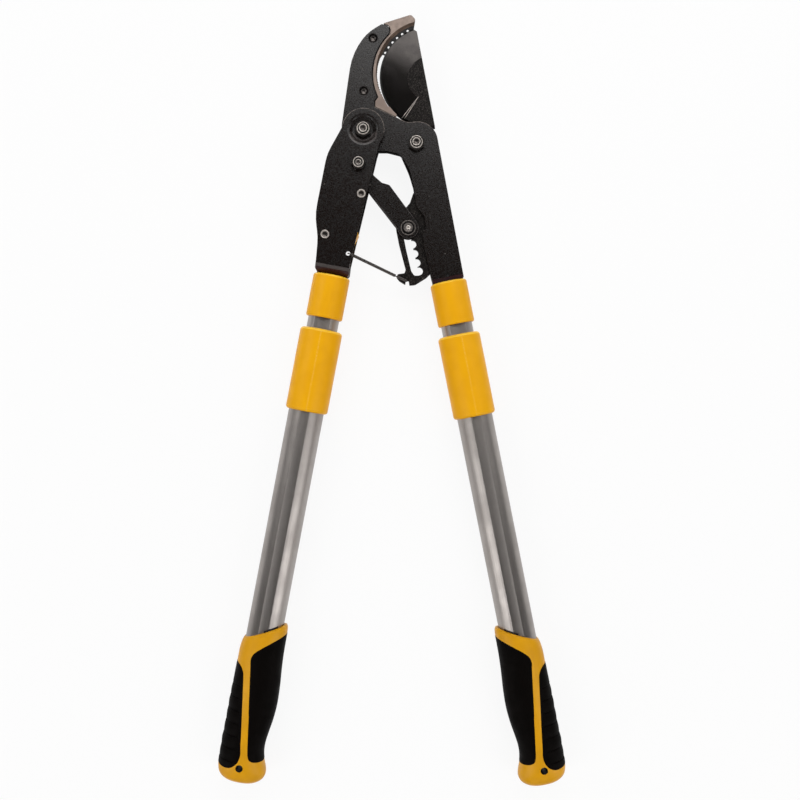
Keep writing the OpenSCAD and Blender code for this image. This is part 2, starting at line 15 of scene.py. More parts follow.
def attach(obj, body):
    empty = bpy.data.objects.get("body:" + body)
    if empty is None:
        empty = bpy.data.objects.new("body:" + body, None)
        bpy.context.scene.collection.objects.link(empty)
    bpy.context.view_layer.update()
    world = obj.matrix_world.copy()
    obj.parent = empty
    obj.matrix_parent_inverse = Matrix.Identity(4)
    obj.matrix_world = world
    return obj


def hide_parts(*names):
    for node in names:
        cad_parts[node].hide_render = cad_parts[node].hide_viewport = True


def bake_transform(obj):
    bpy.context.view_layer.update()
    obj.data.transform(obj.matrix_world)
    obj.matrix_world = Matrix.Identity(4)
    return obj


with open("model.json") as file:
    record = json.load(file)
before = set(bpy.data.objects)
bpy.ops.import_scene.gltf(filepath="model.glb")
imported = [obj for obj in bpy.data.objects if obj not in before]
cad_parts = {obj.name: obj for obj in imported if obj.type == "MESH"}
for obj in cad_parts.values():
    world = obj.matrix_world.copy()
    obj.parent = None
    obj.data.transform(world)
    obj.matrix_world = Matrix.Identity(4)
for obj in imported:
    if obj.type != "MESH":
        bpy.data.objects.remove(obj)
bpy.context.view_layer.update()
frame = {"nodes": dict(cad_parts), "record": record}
LOG = logging.getLogger("loppers")

Color = tuple[float, float, float]
Point2 = tuple[float, float]
Point3 = tuple[float, float, float]

# Millimetres of the drawing's own frame, whose middle plane lies at z = 0
SHIFT = Vector((-1.17, 0.78, 19.3))
HEAD = Matrix.Scale(0.001, 4) @ Matrix.Translation(SHIFT)
PIVOT = (-24.2, 240.4)
BLADE_PIVOT = (23.2, 229.2)
LINK_PIVOT = (-28.3, 210.1)
RATCHET = (15.9, 153.6)
BODY_OF = {node: body for body, nodes in frame["record"]["behaviour"]["bodies"].items()
           for node in nodes}


def tone(red: int, green: int, blue: int) -> Color:
    """Linear colour of an 8-bit screen colour."""
    parts = [channel / 255 for channel in (red, green, blue)]
    return tuple(c / 12.92 if c <= 0.04045 else ((c + 0.055) / 1.055) ** 2.4 for c in parts)


def ramp(value: float, low: float, high: float) -> float:
    """Smooth step from 0 at low to 1 at high."""
    t = min(1.0, max(0.0, (value - low) / (high - low)))
    return t * t * (3 - 2 * t)


def arc(center: Point2, radius: float, start: float, end: float, count: int = 6) -> list[Point2]:
    """Points of a circle's arc, both ends included.

    Args:
        center: middle of the circle.
        radius: its radius.
        start: first angle in degrees.
        end: last angle in degrees.
        count: number of steps.

    Returns:
        The points in order.
    """
    angles = [math.radians(start + (end - start) * i / count) for i in range(count + 1)]
    return [(center[0] + radius * math.cos(a), center[1] + radius * math.sin(a)) for a in angles]


class Effect(Enum):
    """Surface effects that several finishes share."""

    GRAIN = "fine_grain"
    MOTTLE = "cloudy_mottle"
    FLECKS = "dust_flecks"
    STREAKS = "drawn_streaks"


class NodeKit:
    """A node tree, with short ways to add and join nodes."""

    def __init__(self, tree: bpy.types.NodeTree) -> None:
        """Take a tree over."""
        self.tree = tree

    def node(self, kind: str, **values: object) -> bpy.types.Node:
        """Add a node.

        Args:
            kind: type of the node.
            **values: its properties.

        Returns:
            The node.
        """
        made = self.tree.nodes.new(kind)
        for name, value in values.items():
            setattr(made, name, value)
        return made

    def join(self, value: object, socket: bpy.types.NodeSocket) -> None:
        """Link an output to a socket, or set the socket to a plain value.

        Args:
            value: the output or the plain value.
            socket: the input that takes it.
        """
        if isinstance(value, bpy.types.NodeSocket):
            self.tree.links.new(value, socket)
        else:
            socket.default_value = value

    def math(self, operation: str, first: object, second: object = 0.0) -> bpy.types.NodeSocket:
        """One arithmetic step.

        Args:
            operation: what is done.
            first: first output or number.
            second: second output or number.

        Returns:
            The result's output.
        """
        made = self.node("ShaderNodeMath", operation=operation)
        self.join(first, made.inputs[0])
        self.join(second, made.inputs[1])
        return made.outputs["Value"]

    def between(self, value: object, low: float, high: float,
                first: float = 0.0, last: float = 1.0) -> bpy.types.NodeSocket:
        """A value mapped smoothly from one range to another.

        Args:
            value: the output to map.
            low: value that becomes first.
            high: value that becomes last.
            first: start of the new range.
            last: end of the new range.

        Returns:
            The result's output.
        """
        made = self.node("ShaderNodeMapRange", interpolation_type="SMOOTHSTEP")
        for name, number in (("From Min", low), ("From Max", high),
                             ("To Min", first), ("To Max", last)):
            made.inputs[name].default_value = number
        self.join(value, made.inputs["Value"])
        return made.outputs["Result"]

    def noise(self, vector: bpy.types.NodeSocket, scale: object, detail: float,
              roughness: float) -> bpy.types.NodeSocket:
        """A noise texture's value.

        Args:
            vector: coordinates that it lies on.
            scale: output or number that sets its size.
            detail: how many finer layers it has.
            roughness: how strong the finer layers are.

        Returns:
            The value's output.
        """
        made = self.node("ShaderNodeTexNoise")
        for name, value in (("Vector", vector), ("Scale", scale), ("Detail", detail),
                            ("Roughness", roughness)):
            self.join(value, made.inputs[name])
        return made.outputs["Fac"]


class EffectShelf:
    """Builds each shared effect once, as a shader node group."""

    def __init__(self) -> None:
        """Start with an empty shelf."""
        self.made: dict[Effect, bpy.types.NodeTree] = {}

    def get(self, effect: Effect) -> bpy.types.NodeTree:
        """The node group of an effect, built on first use.

        Args:
            effect: which effect.

        Returns:
            Its group.
        """
        if effect not in self.made:
            tree = bpy.data.node_groups.new(effect.value, "ShaderNodeTree")
            tree.interface.new_socket("Vector", in_out="INPUT", socket_type="NodeSocketVector")
            builders = {Effect.GRAIN: self.grain, Effect.MOTTLE: self.mottle,
                        Effect.FLECKS: self.flecks, Effect.STREAKS: self.streaks}
            builders[effect](NodeKit(tree))
            self.made[effect] = tree
        return self.made[effect]

    @staticmethod
    def sockets(kit: NodeKit, numbers: dict[str, float],
                results: Sequence[str]) -> tuple[bpy.types.Node, bpy.types.Node]:
        """Give a group its number inputs and value outputs.

        Args:
            kit: the group.
            numbers: input names with their defaults.
            results: output names.

        Returns:
            The group's input and output nodes.
        """
        for name, value in numbers.items():
            socket = kit.tree.interface.new_socket(name, in_out="INPUT", socket_type="NodeSocketFloat")
            socket.default_value = value
        for name in results:
            kit.tree.interface.new_socket(name, in_out="OUTPUT", socket_type="NodeSocketFloat")
        return kit.node("NodeGroupInput"), kit.node("NodeGroupOutput")

    def grain(self, kit: NodeKit) -> None:
        """Orange-peel height and a mask of its pits.

        Args:
            kit: the group to fill.
        """
        source, result = self.sockets(kit, {"Size": 1500.0}, ("Height", "Pits"))
        fine = kit.noise(source.outputs["Vector"], source.outputs["Size"], 3.0, 0.6)
        kit.join(kit.between(fine, 0.3, 0.7), result.inputs["Height"])
        kit.join(kit.between(fine, 0.42, 0.3), result.inputs["Pits"])

    def mottle(self, kit: NodeKit) -> None:
        """Soft clouds that vary colour and gloss.

        Args:
            kit: the group to fill.
        """
        source, result = self.sockets(kit, {"Size": 30.0}, ("Mask",))
        cloud = kit.noise(source.outputs["Vector"], source.outputs["Size"], 4.0, 0.55)
        kit.join(kit.between(cloud, 0.3, 0.7), result.inputs["Mask"])

    def flecks(self, kit: NodeKit) -> None:
        """Scattered specks of dust and lint.

        Args:
            kit: the group to fill.
        """
        source, result = self.sockets(kit, {"Size": 160.0, "Share": 0.12}, ("Mask",))
        cells = kit.node("ShaderNodeTexVoronoi")
        kit.join(source.outputs["Vector"], cells.inputs["Vector"])
        kit.join(source.outputs["Size"], cells.inputs["Scale"])
        near = kit.between(cells.outputs["Distance"], 0.11, 0.05)
        parts = kit.node("ShaderNodeSeparateColor")
        kit.join(cells.outputs["Color"], parts.inputs["Color"])
        chosen = kit.math("LESS_THAN", parts.outputs["Red"], source.outputs["Share"])
        kit.join(kit.math("MULTIPLY", near, chosen), result.inputs["Mask"])

    def streaks(self, kit: NodeKit) -> None:
        """Lines drawn out along the second axis.

        Args:
            kit: the group to fill.
        """
        source, result = self.sockets(kit, {"Across": 2600.0, "Along": 14.0}, ("Height", "Mask"))
        scale = kit.node("ShaderNodeCombineXYZ")
        for axis, name in (("X", "Across"), ("Y", "Along"), ("Z", "Across")):
            kit.join(source.outputs[name], scale.inputs[axis])
        drawn = kit.node("ShaderNodeVectorMath", operation="MULTIPLY")
        kit.join(source.outputs["Vector"], drawn.inputs[0])
        kit.join(scale.outputs["Vector"], drawn.inputs[1])
        line = kit.noise(drawn.outputs["Vector"], 1.0, 3.0, 0.6)
        kit.join(kit.between(line, 0.25, 0.75), result.inputs["Height"])
        kit.join(kit.between(line, 0.35, 0.65), result.inputs["Mask"])


SHELF = EffectShelf()


class NodeSheet(NodeKit):
    """A material's node tree, whose Principled shader takes what is laid out on it."""

    def __init__(self, name: str) -> None:
        """Make a material with a Principled shader alone.

        Args:
            name: name of the material.
        """
        self.material = bpy.data.materials.new(name)
        self.material.use_nodes = True
        super().__init__(self.material.node_tree)
        self.shader = next(n for n in self.tree.nodes if n.type == "BSDF_PRINCIPLED")

    def coordinates(self, turn: float = 0.0, center: Point2 = (0.0, 0.0)) -> bpy.types.NodeSocket:
        """Object coordinates, turned so that a handle's own axis lies along Y.

        Args:
            turn: angle of the handle in degrees.
            center: point of the handle's axis in millimetres of the drawing.

        Returns:
            The vector output.
        """
        vector = self.node("ShaderNodeTexCoord").outputs["Object"]
        if turn:
            mapping = self.node("ShaderNodeMapping", vector_type="TEXTURE")
            mapping.inputs["Location"].default_value = HEAD @ Vector((*center, 0.0))
            mapping.inputs["Rotation"].default_value = (0.0, 0.0, math.radians(turn))
            self.join(vector, mapping.inputs["Vector"])
            vector = mapping.outputs["Vector"]
        return vector

    def effect(self, effect: Effect, vector: bpy.types.NodeSocket, **values: float) -> bpy.types.Node:
        """Place a shared effect in this material.

        Args:
            effect: which effect.
            vector: coordinates that it lies on.
            **values: its numbers, where they differ from the defaults.

        Returns:
            The group node.
        """
        made = self.node("ShaderNodeGroup", node_tree=SHELF.get(effect))
        self.join(vector, made.inputs["Vector"])
        for name, value in values.items():
            made.inputs[name].default_value = value
        return made

    def mix(self, factor: object, first: object, second: object) -> bpy.types.NodeSocket:
        """A colour between two colours.

        Args:
            factor: share of the second.
            first: output or colour.
            second: output or colour.

        Returns:
            The colour's output.
        """
        made = self.node("ShaderNodeMix", data_type="RGBA")
        self.join(factor, made.inputs["Factor"])
        colors = [s for s in made.inputs if s.type == "RGBA"]
        for socket, value in zip(colors, (first, second)):
            self.join((*value, 1.0) if isinstance(value, tuple) else value, socket)
        return next(s for s in made.outputs if s.type == "RGBA")

    def bump(self, height: object, depth: float) -> None:
        """Feed a height to the shader's normal.

        Args:
            height: output, in units of the depth.
            depth: depth in millimetres.
        """
        made = self.node("ShaderNodeBump")
        made.inputs["Strength"].default_value = 1.0
        made.inputs["Distance"].default_value = depth / 1000
        self.join(height, made.inputs["Height"])
        self.join(made.outputs["Normal"], self.shader.inputs["Normal"])


class Pattern(Enum):
    """What lies over a finish besides its grain."""

    PLAIN = 0
    DRAWN = 1
    SEAM = 2
    GROUND = 3


PIT_SHADE = 0.35
SPARK_HEIGHTS = (0.62, 0.95)
SPARK_COLOR = tone(132, 124, 118)
DRAWN_GLOSS = 0.05
GROUND_SHARE = 0.4
DUST_SIZE = 150.0
DUST_SHARE = 0.3
DUST_ROUGHNESS = 0.25
DUST_COLOR = tone(150, 142, 134)
# Metres from the handle's axis to the moulding seam, and the seam's fading width
SEAM_PLACE = 0.0012
SEAM_WIDTH = (0.0009, 0.0002)
SEAM_SHARE = 0.35
SEAM_HEIGHT = 4.0
SEAM_COLOR = tone(250, 214, 120)


@dataclass(frozen=True)
class Finish:
    """A surface finish, which makes its own material."""

    name: str
    slot: str
    color: Color
    deep: Color
    metallic: float = 0.0
    roughness: float = 0.5
    spread: float = 0.06
    grain: float = 0.5
    depth: float = 0.01
    cloud: float = 25.0
    pits: float = 0.0
    glint: float = 0.0
    dust: float = 0.0
    specular: float = 0.5
    pattern: Pattern = Pattern.PLAIN
    turn: float = 0.0
    center: Point2 = (0.0, 0.0)

    def material(self) -> bpy.types.Material:
        """The finish as a node material, made once.

        Returns:
            The material.
        """
        name = f"{self.name}_finish"
        made = bpy.data.materials.get(name)
        return made if made else self.paint(NodeSheet(name))

    @staticmethod
    def seam(sheet: NodeSheet, spot: bpy.types.NodeSocket) -> bpy.types.NodeSocket:
        """The line that a mould's halves leave along a handle.

        Args:
            sheet: the sheet.
            spot: coordinates of the handle.

        Returns:
            A mask of the line.
        """
        parts = sheet.node("ShaderNodeSeparateXYZ")
        sheet.join(spot, parts.inputs["Vector"])
        off = sheet.math("ABSOLUTE", sheet.math("SUBTRACT", parts.outputs["X"], SEAM_PLACE))
        return sheet.between(off, *SEAM_WIDTH)

    def paint(self, sheet: NodeSheet) -> bpy.types.Material:
        """Lay the finish out on a node sheet.

        Args:
            sheet: an empty sheet.

        Returns:
            Its material.
        """
        spot = sheet.coordinates(self.turn, self.center)
        cloud = sheet.effect(Effect.MOTTLE, spot, Size=1000 / self.cloud).outputs["Mask"]
        grain = sheet.effect(Effect.GRAIN, spot, Size=1000 / self.grain)
        color = sheet.mix(cloud, self.color, self.deep)
        rough = sheet.between(cloud, 0.0, 1.0, self.roughness - self.spread,
                              self.roughness + self.spread)
        height = grain.outputs["Height"]
        if self.pits:
            color = sheet.mix(sheet.math("MULTIPLY", grain.outputs["Pits"], self.pits), color,
                              tuple(c * PIT_SHADE for c in self.deep))
        if self.glint:
            sparks = sheet.between(grain.outputs["Height"], *SPARK_HEIGHTS, 0.0, self.glint)
            color = sheet.mix(sparks, color, SPARK_COLOR)
        if self.pattern is Pattern.DRAWN:
            drawn = sheet.effect(Effect.STREAKS, spot)
            height = sheet.math("ADD", height, drawn.outputs["Height"])
            rough = sheet.math("ADD", rough, sheet.between(drawn.outputs["Mask"], 0.0, 1.0,
                                                           -DRAWN_GLOSS, DRAWN_GLOSS))
        if self.pattern is Pattern.GROUND:
            drawn = sheet.effect(Effect.STREAKS, spot, Across=1500.0, Along=40.0)
            height = sheet.math("ADD", height,
                                sheet.math("MULTIPLY", drawn.outputs["Height"], GROUND_SHARE))
        if self.pattern is Pattern.SEAM:
            seam = self.seam(sheet, spot)
            broken = sheet.math("MULTIPLY", seam,
                                sheet.between(grain.outputs["Height"], 0.35, 0.8))
            color = sheet.mix(sheet.math("MULTIPLY", broken, SEAM_SHARE), color, SEAM_COLOR)
            height = sheet.math("ADD", height, sheet.math("MULTIPLY", seam, SEAM_HEIGHT))
        if self.dust:
            specks = sheet.effect(Effect.FLECKS, spot, Size=DUST_SIZE, Share=self.dust).outputs["Mask"]
            color = sheet.mix(sheet.math("MULTIPLY", specks, DUST_SHARE), color, DUST_COLOR)
            rough = sheet.math("ADD", rough, sheet.math("MULTIPLY", specks, DUST_ROUGHNESS))
        for value, socket in ((color, "Base Color"), (rough, "Roughness"),
                              (self.metallic, "Metallic"), (self.specular, "Specular IOR Level")):
            sheet.join(value, sheet.shader.inputs[socket])
        sheet.bump(height, self.depth)
        return sheet.material


BLACK_PAINT = Finish("black_paint", "black_paint", tone(21, 13, 10), tone(10, 6, 5),
                     roughness=0.27, spread=0.04, grain=0.9, depth=0.02, cloud=1.8, pits=0.2, dust=0.2)
# Painted highlight: the rounded edges of the painted plates in a paler grey than the flat paint.
EDGE_HIGHLIGHT_PAINT = Finish("black_paint_edge_highlight", "black_paint", tone(36, 30, 28), tone(26, 21, 20),
                    roughness=0.42, grain=0.6, depth=0.006, cloud=8.0, specular=0.2)
# Painted shade: the side walls of the painted plates darker than the flat paint, with no gloss.
WALL_SHADE_PAINT = Finish("black_paint_wall_shade", "black_paint", tone(15, 12, 11), tone(10, 8, 8),
                    roughness=0.6, grain=0.6, depth=0.006, cloud=8.0, specular=0.0)
# Painted highlight: bright steel colour on the upper edges of the ear and of the left plates' round top.
TOP_EDGE_HIGHLIGHT = Finish("black_paint_top_edge_highlight", "black_paint", tone(138, 128, 121), tone(84, 76, 72),
                   metallic=0.7, roughness=0.4, grain=0.5, depth=0.006, cloud=5.0)
# Painted highlight: paler, glossier paint on the dish wall towards the jaws, on the crest of the rolled
# lower end and on the link's edges.
SHEEN_HIGHLIGHT_PAINT = Finish("black_paint_sheen_highlight", "black_paint", tone(74, 68, 66), tone(56, 51, 50),
                     roughness=0.36, grain=0.6, depth=0.006, cloud=10.0, specular=0.4)
# Painted shade, tinted red as a painted reflection of the yellow collar: the plates' lower ends beside
# the collars.
LIP_SHADE_PAINT = Finish("black_paint_lip_shade", "black_paint", tone(56, 27, 31), tone(38, 19, 22),
                   roughness=0.3, grain=0.6, depth=0.006, cloud=10.0, specular=0.3)
TAUPE = Finish("taupe_steel", "taupe_steel", tone(145, 129, 119), tone(131, 116, 107),
               metallic=0.3, roughness=0.42, grain=0.35, depth=0.008, cloud=6.0, pits=0.15,
               specular=0.3)
# Painted shade: the counter-blade's sloping ledge darker than its face.
TAUPE_LEDGE_SHADE = Finish("taupe_steel_ledge_shade", "taupe_steel", tone(104, 86, 74), tone(82, 67, 58),
                    metallic=0.55, roughness=0.38, grain=0.35, depth=0.008, cloud=6.0, specular=0.3)
# Painted shadow: the counter-blade's walls, lower teeth and groove nearly black.
TAUPE_SHADOW = Finish("taupe_steel_shadow", "taupe_steel", tone(24, 20, 19), tone(15, 13, 13),
                    roughness=0.45, grain=0.35, depth=0.008, cloud=4.0, specular=0.25)
GROUND_STEEL = Finish("blade_steel_ground", "blade_steel", tone(59, 56, 54), tone(53, 50, 49),
                      metallic=0.86, roughness=0.09, spread=0.012, grain=0.6, depth=0.0001,
                      cloud=9.0, pattern=Pattern.GROUND)
# Painted shade: the ground bevel along the cutting edge nearly black, with almost no gloss.
BLADE_BEVEL_SHADE = Finish("blade_steel_bevel_shade", "blade_steel", tone(15, 13, 13), tone(11, 10, 10),
                    roughness=0.4, spread=0.04, grain=0.4, depth=0.001, cloud=8.0, specular=0.04)
# Painted highlight: bright steel on the thin grinding burrs.
BLADE_BURR_HIGHLIGHT = Finish("blade_steel_burr_highlight", "blade_steel", tone(190, 180, 172), tone(150, 141, 135),
                    metallic=0.8, roughness=0.4, grain=0.4, depth=0.002, cloud=4.0)
BLADE_BLACK = Finish("blade_steel_black", "blade_steel", tone(18, 14, 13), tone(10, 8, 7),
                     roughness=0.42, grain=0.62, depth=0.03, cloud=9.0, pits=0.6, glint=0.24,
                     dust=0.2, specular=0.1)
DARK_ZINC = Finish("dark_zinc", "dark_zinc", tone(208, 200, 193), tone(176, 168, 161),
                   metallic=0.6, roughness=0.36, spread=0.04, grain=0.3, depth=0.0003, cloud=3.0,
                   pits=0.1, specular=0.3)
GREY_ZINC = Finish("dark_zinc_grey", "dark_zinc", tone(112, 106, 102), tone(90, 84, 81),
                   metallic=0.6, roughness=0.44, spread=0.04, grain=0.3, depth=0.0006, cloud=3.0,
                   specular=0.3)
NUT_SHADE = Finish("dark_zinc_shade", "dark_zinc", tone(50, 46, 44), tone(36, 33, 31),
                   metallic=0.6, roughness=0.4, spread=0.04, grain=0.3, depth=0.0006, cloud=3.0,
                   specular=0.2)
# Painted shade: darker zinc in the dished bolt ends, the rivets' hollow heads and the counter-blade
# screws' heads.
ZINC_HOLLOW_SHADE = Finish("dark_zinc_hollow_shade", "dark_zinc", tone(88, 83, 80), tone(70, 66, 64),
                   metallic=1.0, roughness=0.28, spread=0.04, grain=0.3, depth=0.0003, cloud=3.0)
# Painted shadow: near-black zinc on the nuts' hexagon sides and hollows, the bolt threads' flanks, the
# screws' rims and the pin washers' bodies.
ZINC_SHADOW = Finish("dark_zinc_shadow", "dark_zinc", tone(22, 19, 18), tone(15, 13, 12),
                     metallic=0.2, roughness=0.4, grain=0.3, depth=0.0008, cloud=3.0, specular=0.2)
ZINC = Finish("zinc", "zinc", tone(190, 182, 175), tone(164, 156, 150),
              metallic=0.5, roughness=0.42, spread=0.04, grain=0.3, depth=0.0004, cloud=3.0,
              specular=0.3)
SPRING_STEEL = Finish("spring_steel", "spring_steel", tone(84, 79, 76), tone(62, 58, 56),
                      metallic=0.5, roughness=0.34, grain=0.2, depth=0.0005, cloud=4.0)
RUBBER = Finish("black_rubber", "black_rubber", tone(9, 6, 5), tone(7, 5, 4),
                roughness=0.58, spread=0.06, grain=0.4, depth=0.012, cloud=9.0, specular=0.03)
BLACK_PLASTIC = Finish("black_plastic", "black_plastic", tone(22, 20, 20), tone(16, 15, 15),
                       roughness=0.45, grain=0.5, depth=0.006, specular=0.25)


@dataclass(frozen=True)
class HandleDrawing:
    """What the drawing gives of one handle, in millimetres and degrees."""

    title: str
    top: Point2
    tilt: float
    push: float
    lock_shift: float


class Side(Enum):
    """The two handles with their drawing."""

    LEFT = HandleDrawing("left", (-52.7, 111.3), 10.7, 0.0, 0.0)
    RIGHT = HandleDrawing("right", (51.8, 105.6), 11.2, 3.0, 2.0)

    @property
    def title(self) -> str:
        """Plain name of the side."""
        return self.value.title

    @property
    def top(self) -> Point2:
        """Top middle of the upper collar."""
        return self.value.top

    @property
    def sign(self) -> float:
        """1 on the left, -1 on the right."""
        return 1.0 if self is Side.LEFT else -1.0

    @property
    def turn(self) -> float:
        """Angle that the handle's axis makes with Y, for a turned pattern."""
        return -self.sign * self.value.tilt

    def matrix(self, slide: float = 0.0) -> Matrix:
        """Handle millimetres to the row frame: X inwards, Y up, Z down the handle.

        Args:
            slide: how far the piece is moved along the handle.

        Returns:
            The matrix, which mirrors on the right.
        """
        tilt = math.radians(self.value.tilt)
        across = Vector((self.sign * math.cos(tilt), -math.sin(tilt), 0.0))
        along = Vector((-self.sign * math.sin(tilt), -math.cos(tilt), 0.0))
        up = Vector((0.0, 0.0, 1.0))
        place = Vector((*self.top, 0.0)) + along * slide
        rows = [(across[i], up[i], along[i], place[i]) for i in range(3)]
        return HEAD @ Matrix((*rows, (0.0, 0.0, 0.0, 1.0)))

    @property
    def outer(self) -> Matrix:
        """Frame of what slides: outer tube and grip."""
        return self.matrix(-self.value.push)

    @property
    def lock(self) -> Matrix:
        """Frame of the lock collar."""
        return self.matrix(self.value.lock_shift - self.value.push)

    def amber(self, seam: bool) -> Finish:
        """Yellow plastic of the collars.

        Args:
            seam: whether it shows the moulding seam.

        Returns:
            The finish.
        """
        name = f"amber_plastic_{self.title}" + ("_seam" if seam else "")
        return Finish(name, "amber_plastic", tone(240, 173, 12), tone(236, 168, 9),
                      roughness=0.38, spread=0.04, grain=0.9, depth=0.006, cloud=14.0, specular=0.16,
                      pattern=Pattern.SEAM if seam else Pattern.PLAIN, turn=self.turn,
                      center=self.top)

    def rim(self) -> Finish:
        """The same plastic painted paler on the collar's rounded mouth, as a painted highlight.

        Returns:
            The finish.
        """
        return Finish(f"amber_plastic_{self.title}_rim", "amber_plastic", tone(255, 204, 58),
                      tone(250, 194, 44), roughness=0.34, spread=0.04, grain=0.9, depth=0.006,
                      cloud=14.0, specular=0.24)

    def alloy(self, name: str) -> Finish:
        """Drawn aluminium whose lines run along the handle.

        Args:
            name: which tube.

        Returns:
            The finish.
        """
        return Finish(f"alloy_{name}_{self.title}", "alloy_tube", tone(170, 164, 160),
                      tone(160, 154, 150), metallic=1.0, roughness=0.44, spread=0.03, grain=0.8,
                      depth=0.0012, cloud=30.0, pattern=Pattern.DRAWN, turn=self.turn,
                      center=self.top)


MUSTARD = Finish("mustard_plastic", "mustard_plastic", tone(220, 157, 8), tone(211, 149, 5),
                 roughness=0.42, spread=0.04, grain=0.8, depth=0.006, cloud=18.0, specular=0.2)


class Shape:
    """A mesh under construction, in millimetres of its own frame."""

    def __init__(self) -> None:
        """Start empty."""
        self.bm = bmesh.new()

    @classmethod
    def from_node(cls, node: str) -> "Shape":
        """A merged copy of a CAD node, its flat faces made whole.

        Args:
            node: name of the node.

        Returns:
            The copy in millimetres of the drawing.
        """
        shape = cls()
        shape.bm.from_mesh(frame["nodes"][node].data)
        shape.bm.transform(HEAD.inverted())
        bmesh.ops.remove_doubles(shape.bm, verts=shape.bm.verts, dist=0.003)
        bmesh.ops.dissolve_limit(shape.bm, angle_limit=math.radians(0.4),
                                 use_dissolve_boundaries=False, verts=shape.bm.verts,
                                 edges=shape.bm.edges, delimit=set())
        for face in shape.bm.faces:
            face.material_index = 0
        return shape

    @classmethod
    def lathe(cls, profile: Sequence[Point2], steps: int = 72, closed: bool = True) -> "Shape":
        """Spin a profile of (radius, height) round Z.

        Args:
            profile: the points in order.
            steps: steps round the axis.
            closed: whether the last point joins the first.

        Returns:
            The turned shape.
        """
        shape = cls()
        verts = [shape.bm.verts.new((r, 0.0, z)) for r, z in profile]
        edges = [shape.bm.edges.new(pair) for pair in zip(verts, verts[1:])]
        if closed:
            edges.append(shape.bm.edges.new((verts[-1], verts[0])))
        bmesh.ops.spin(shape.bm, geom=verts + edges, cent=(0, 0, 0), axis=(0, 0, 1),
                       dvec=(0, 0, 0), angle=math.tau, steps=steps, use_merge=True)
        return shape.mend()

    @classmethod
    def rod(cls, radius: float, low: float, high: float, steps: int = 48) -> "Shape":
        """A round rod along Z.

        Args:
            radius: its radius.
            low: height of its lower end.
            high: height of its upper end.
            steps: steps round the axis.

        Returns:
            The rod.
        """
        return cls.lathe([(0.0, low), (radius, low), (radius, high), (0.0, high)], steps, False)

    @classmethod
    def sheet(cls, columns: int, rows: int, place: Callable[[float, float], Point3]) -> "Shape":
        """A grid laid over a surface.

        Args:
            columns: steps of the first parameter.
            rows: steps of the second.
            place: gives a point for both parameters, each from 0 to 1.

        Returns:
            The sheet.
        """
        shape = cls()
        bmesh.ops.create_grid(shape.bm, x_segments=columns, y_segments=rows, size=0.5)
        for vert in shape.bm.verts:
            vert.co = place(vert.co.x + 0.5, vert.co.y + 0.5)
        return shape

    @classmethod
    def tube(cls, outer: Sequence[Point2], inner: Sequence[Point2],
             start: float, end: float) -> "Shape":
        """A straight tube between two outlines of equal count.

        Args:
            outer: outside outline.
            inner: inside outline.
            start: first station.
            end: last station.

        Returns:
            The tube along Z.
        """
        shape = cls()
        loops: list[bmesh.types.BMEdge] = []
        for outline in (outer, inner):
            verts = [shape.bm.verts.new((x, y, start)) for x, y in outline]
            loops += [shape.bm.edges.new(pair) for pair in zip(verts, verts[1:] + verts[:1])]
        bmesh.ops.bridge_loops(shape.bm, edges=loops)
        drawn = bmesh.ops.extrude_face_region(shape.bm, geom=shape.bm.faces[:])
        moved = [g for g in drawn["geom"] if isinstance(g, bmesh.types.BMVert)]
        bmesh.ops.translate(shape.bm, verts=moved, vec=(0.0, 0.0, end - start))
        return shape.mend()

    def mend(self) -> "Shape":
        """Close seams and poles, and turn the faces outwards.

        Returns:
            The shape itself.
        """
        bmesh.ops.remove_doubles(self.bm, verts=self.bm.verts, dist=0.0005)
        bmesh.ops.recalc_face_normals(self.bm, faces=self.bm.faces)
        return self

    def clamp_hex(self, across: float, low: float, high: float) -> "Shape":
        """Press the part between two heights into a hexagon.

        Args:
            across: width over the flats.
            low: lower height.
            high: upper height.

        Returns:
            The shape itself.
        """
        for vert in self.bm.verts:
            if low <= vert.co.z <= high:
                angle = math.atan2(vert.co.y, vert.co.x)
                within = (angle + math.tau) % (math.pi / 3) - math.pi / 6
                limit = across / 2 / math.cos(within)
                radius = math.hypot(vert.co.x, vert.co.y)
                if radius > limit:
                    vert.co.x *= limit / radius
                    vert.co.y *= limit / radius
        return self

    def add(self, other: "Shape", matrix: Matrix = Matrix.Identity(4), zone: int = 0) -> "Shape":
        """Take another shape in.

        Args:
            other: the shape to add.
            matrix: where it goes.
            zone: finish number added to its faces' own.

        Returns:
            The shape itself.
        """
        mesh = bpy.data.meshes.new("part")
        for face in other.bm.faces:
            face.material_index += zone
        other.bm.to_mesh(mesh)
        mesh.transform(matrix)
        if matrix.determinant() < 0:
            mesh.flip_normals()
        self.bm.from_mesh(mesh)
        bpy.data.meshes.remove(mesh)
        return self

    def sharp(self, least: float, most: float = 180.0) -> list[bmesh.types.BMEdge]:
        """Edges whose faces meet at an angle between two limits.

        Args:
            least: smaller limit in degrees.
            most: larger limit in degrees.

        Returns:
            The edges.
        """
        low, high = math.radians(least), math.radians(most)
        return [e for e in self.bm.edges if len(e.link_faces) == 2
                and low < e.calc_face_angle(0.0) <= high]

    def soften(self, edges: list[bmesh.types.BMEdge], width: float, segments: int = 2,
               zone: int | None = None) -> "Shape":
        """Round the given edges.

        Args:
            edges: the edges.
            width: width of the rounding.
            segments: steps of the rounding.
            zone: finish number of the new faces, if not their neighbours'.

        Returns:
            The shape itself.
        """
        made = bmesh.ops.bevel(self.bm, geom=edges, offset=width, offset_type="OFFSET",
                               affect="EDGES", segments=segments, profile=0.5, material=-1,
                               clamp_overlap=False, loop_slide=True)
        if zone is not None:
            for face in made["faces"]:
                face.material_index = zone
        return self

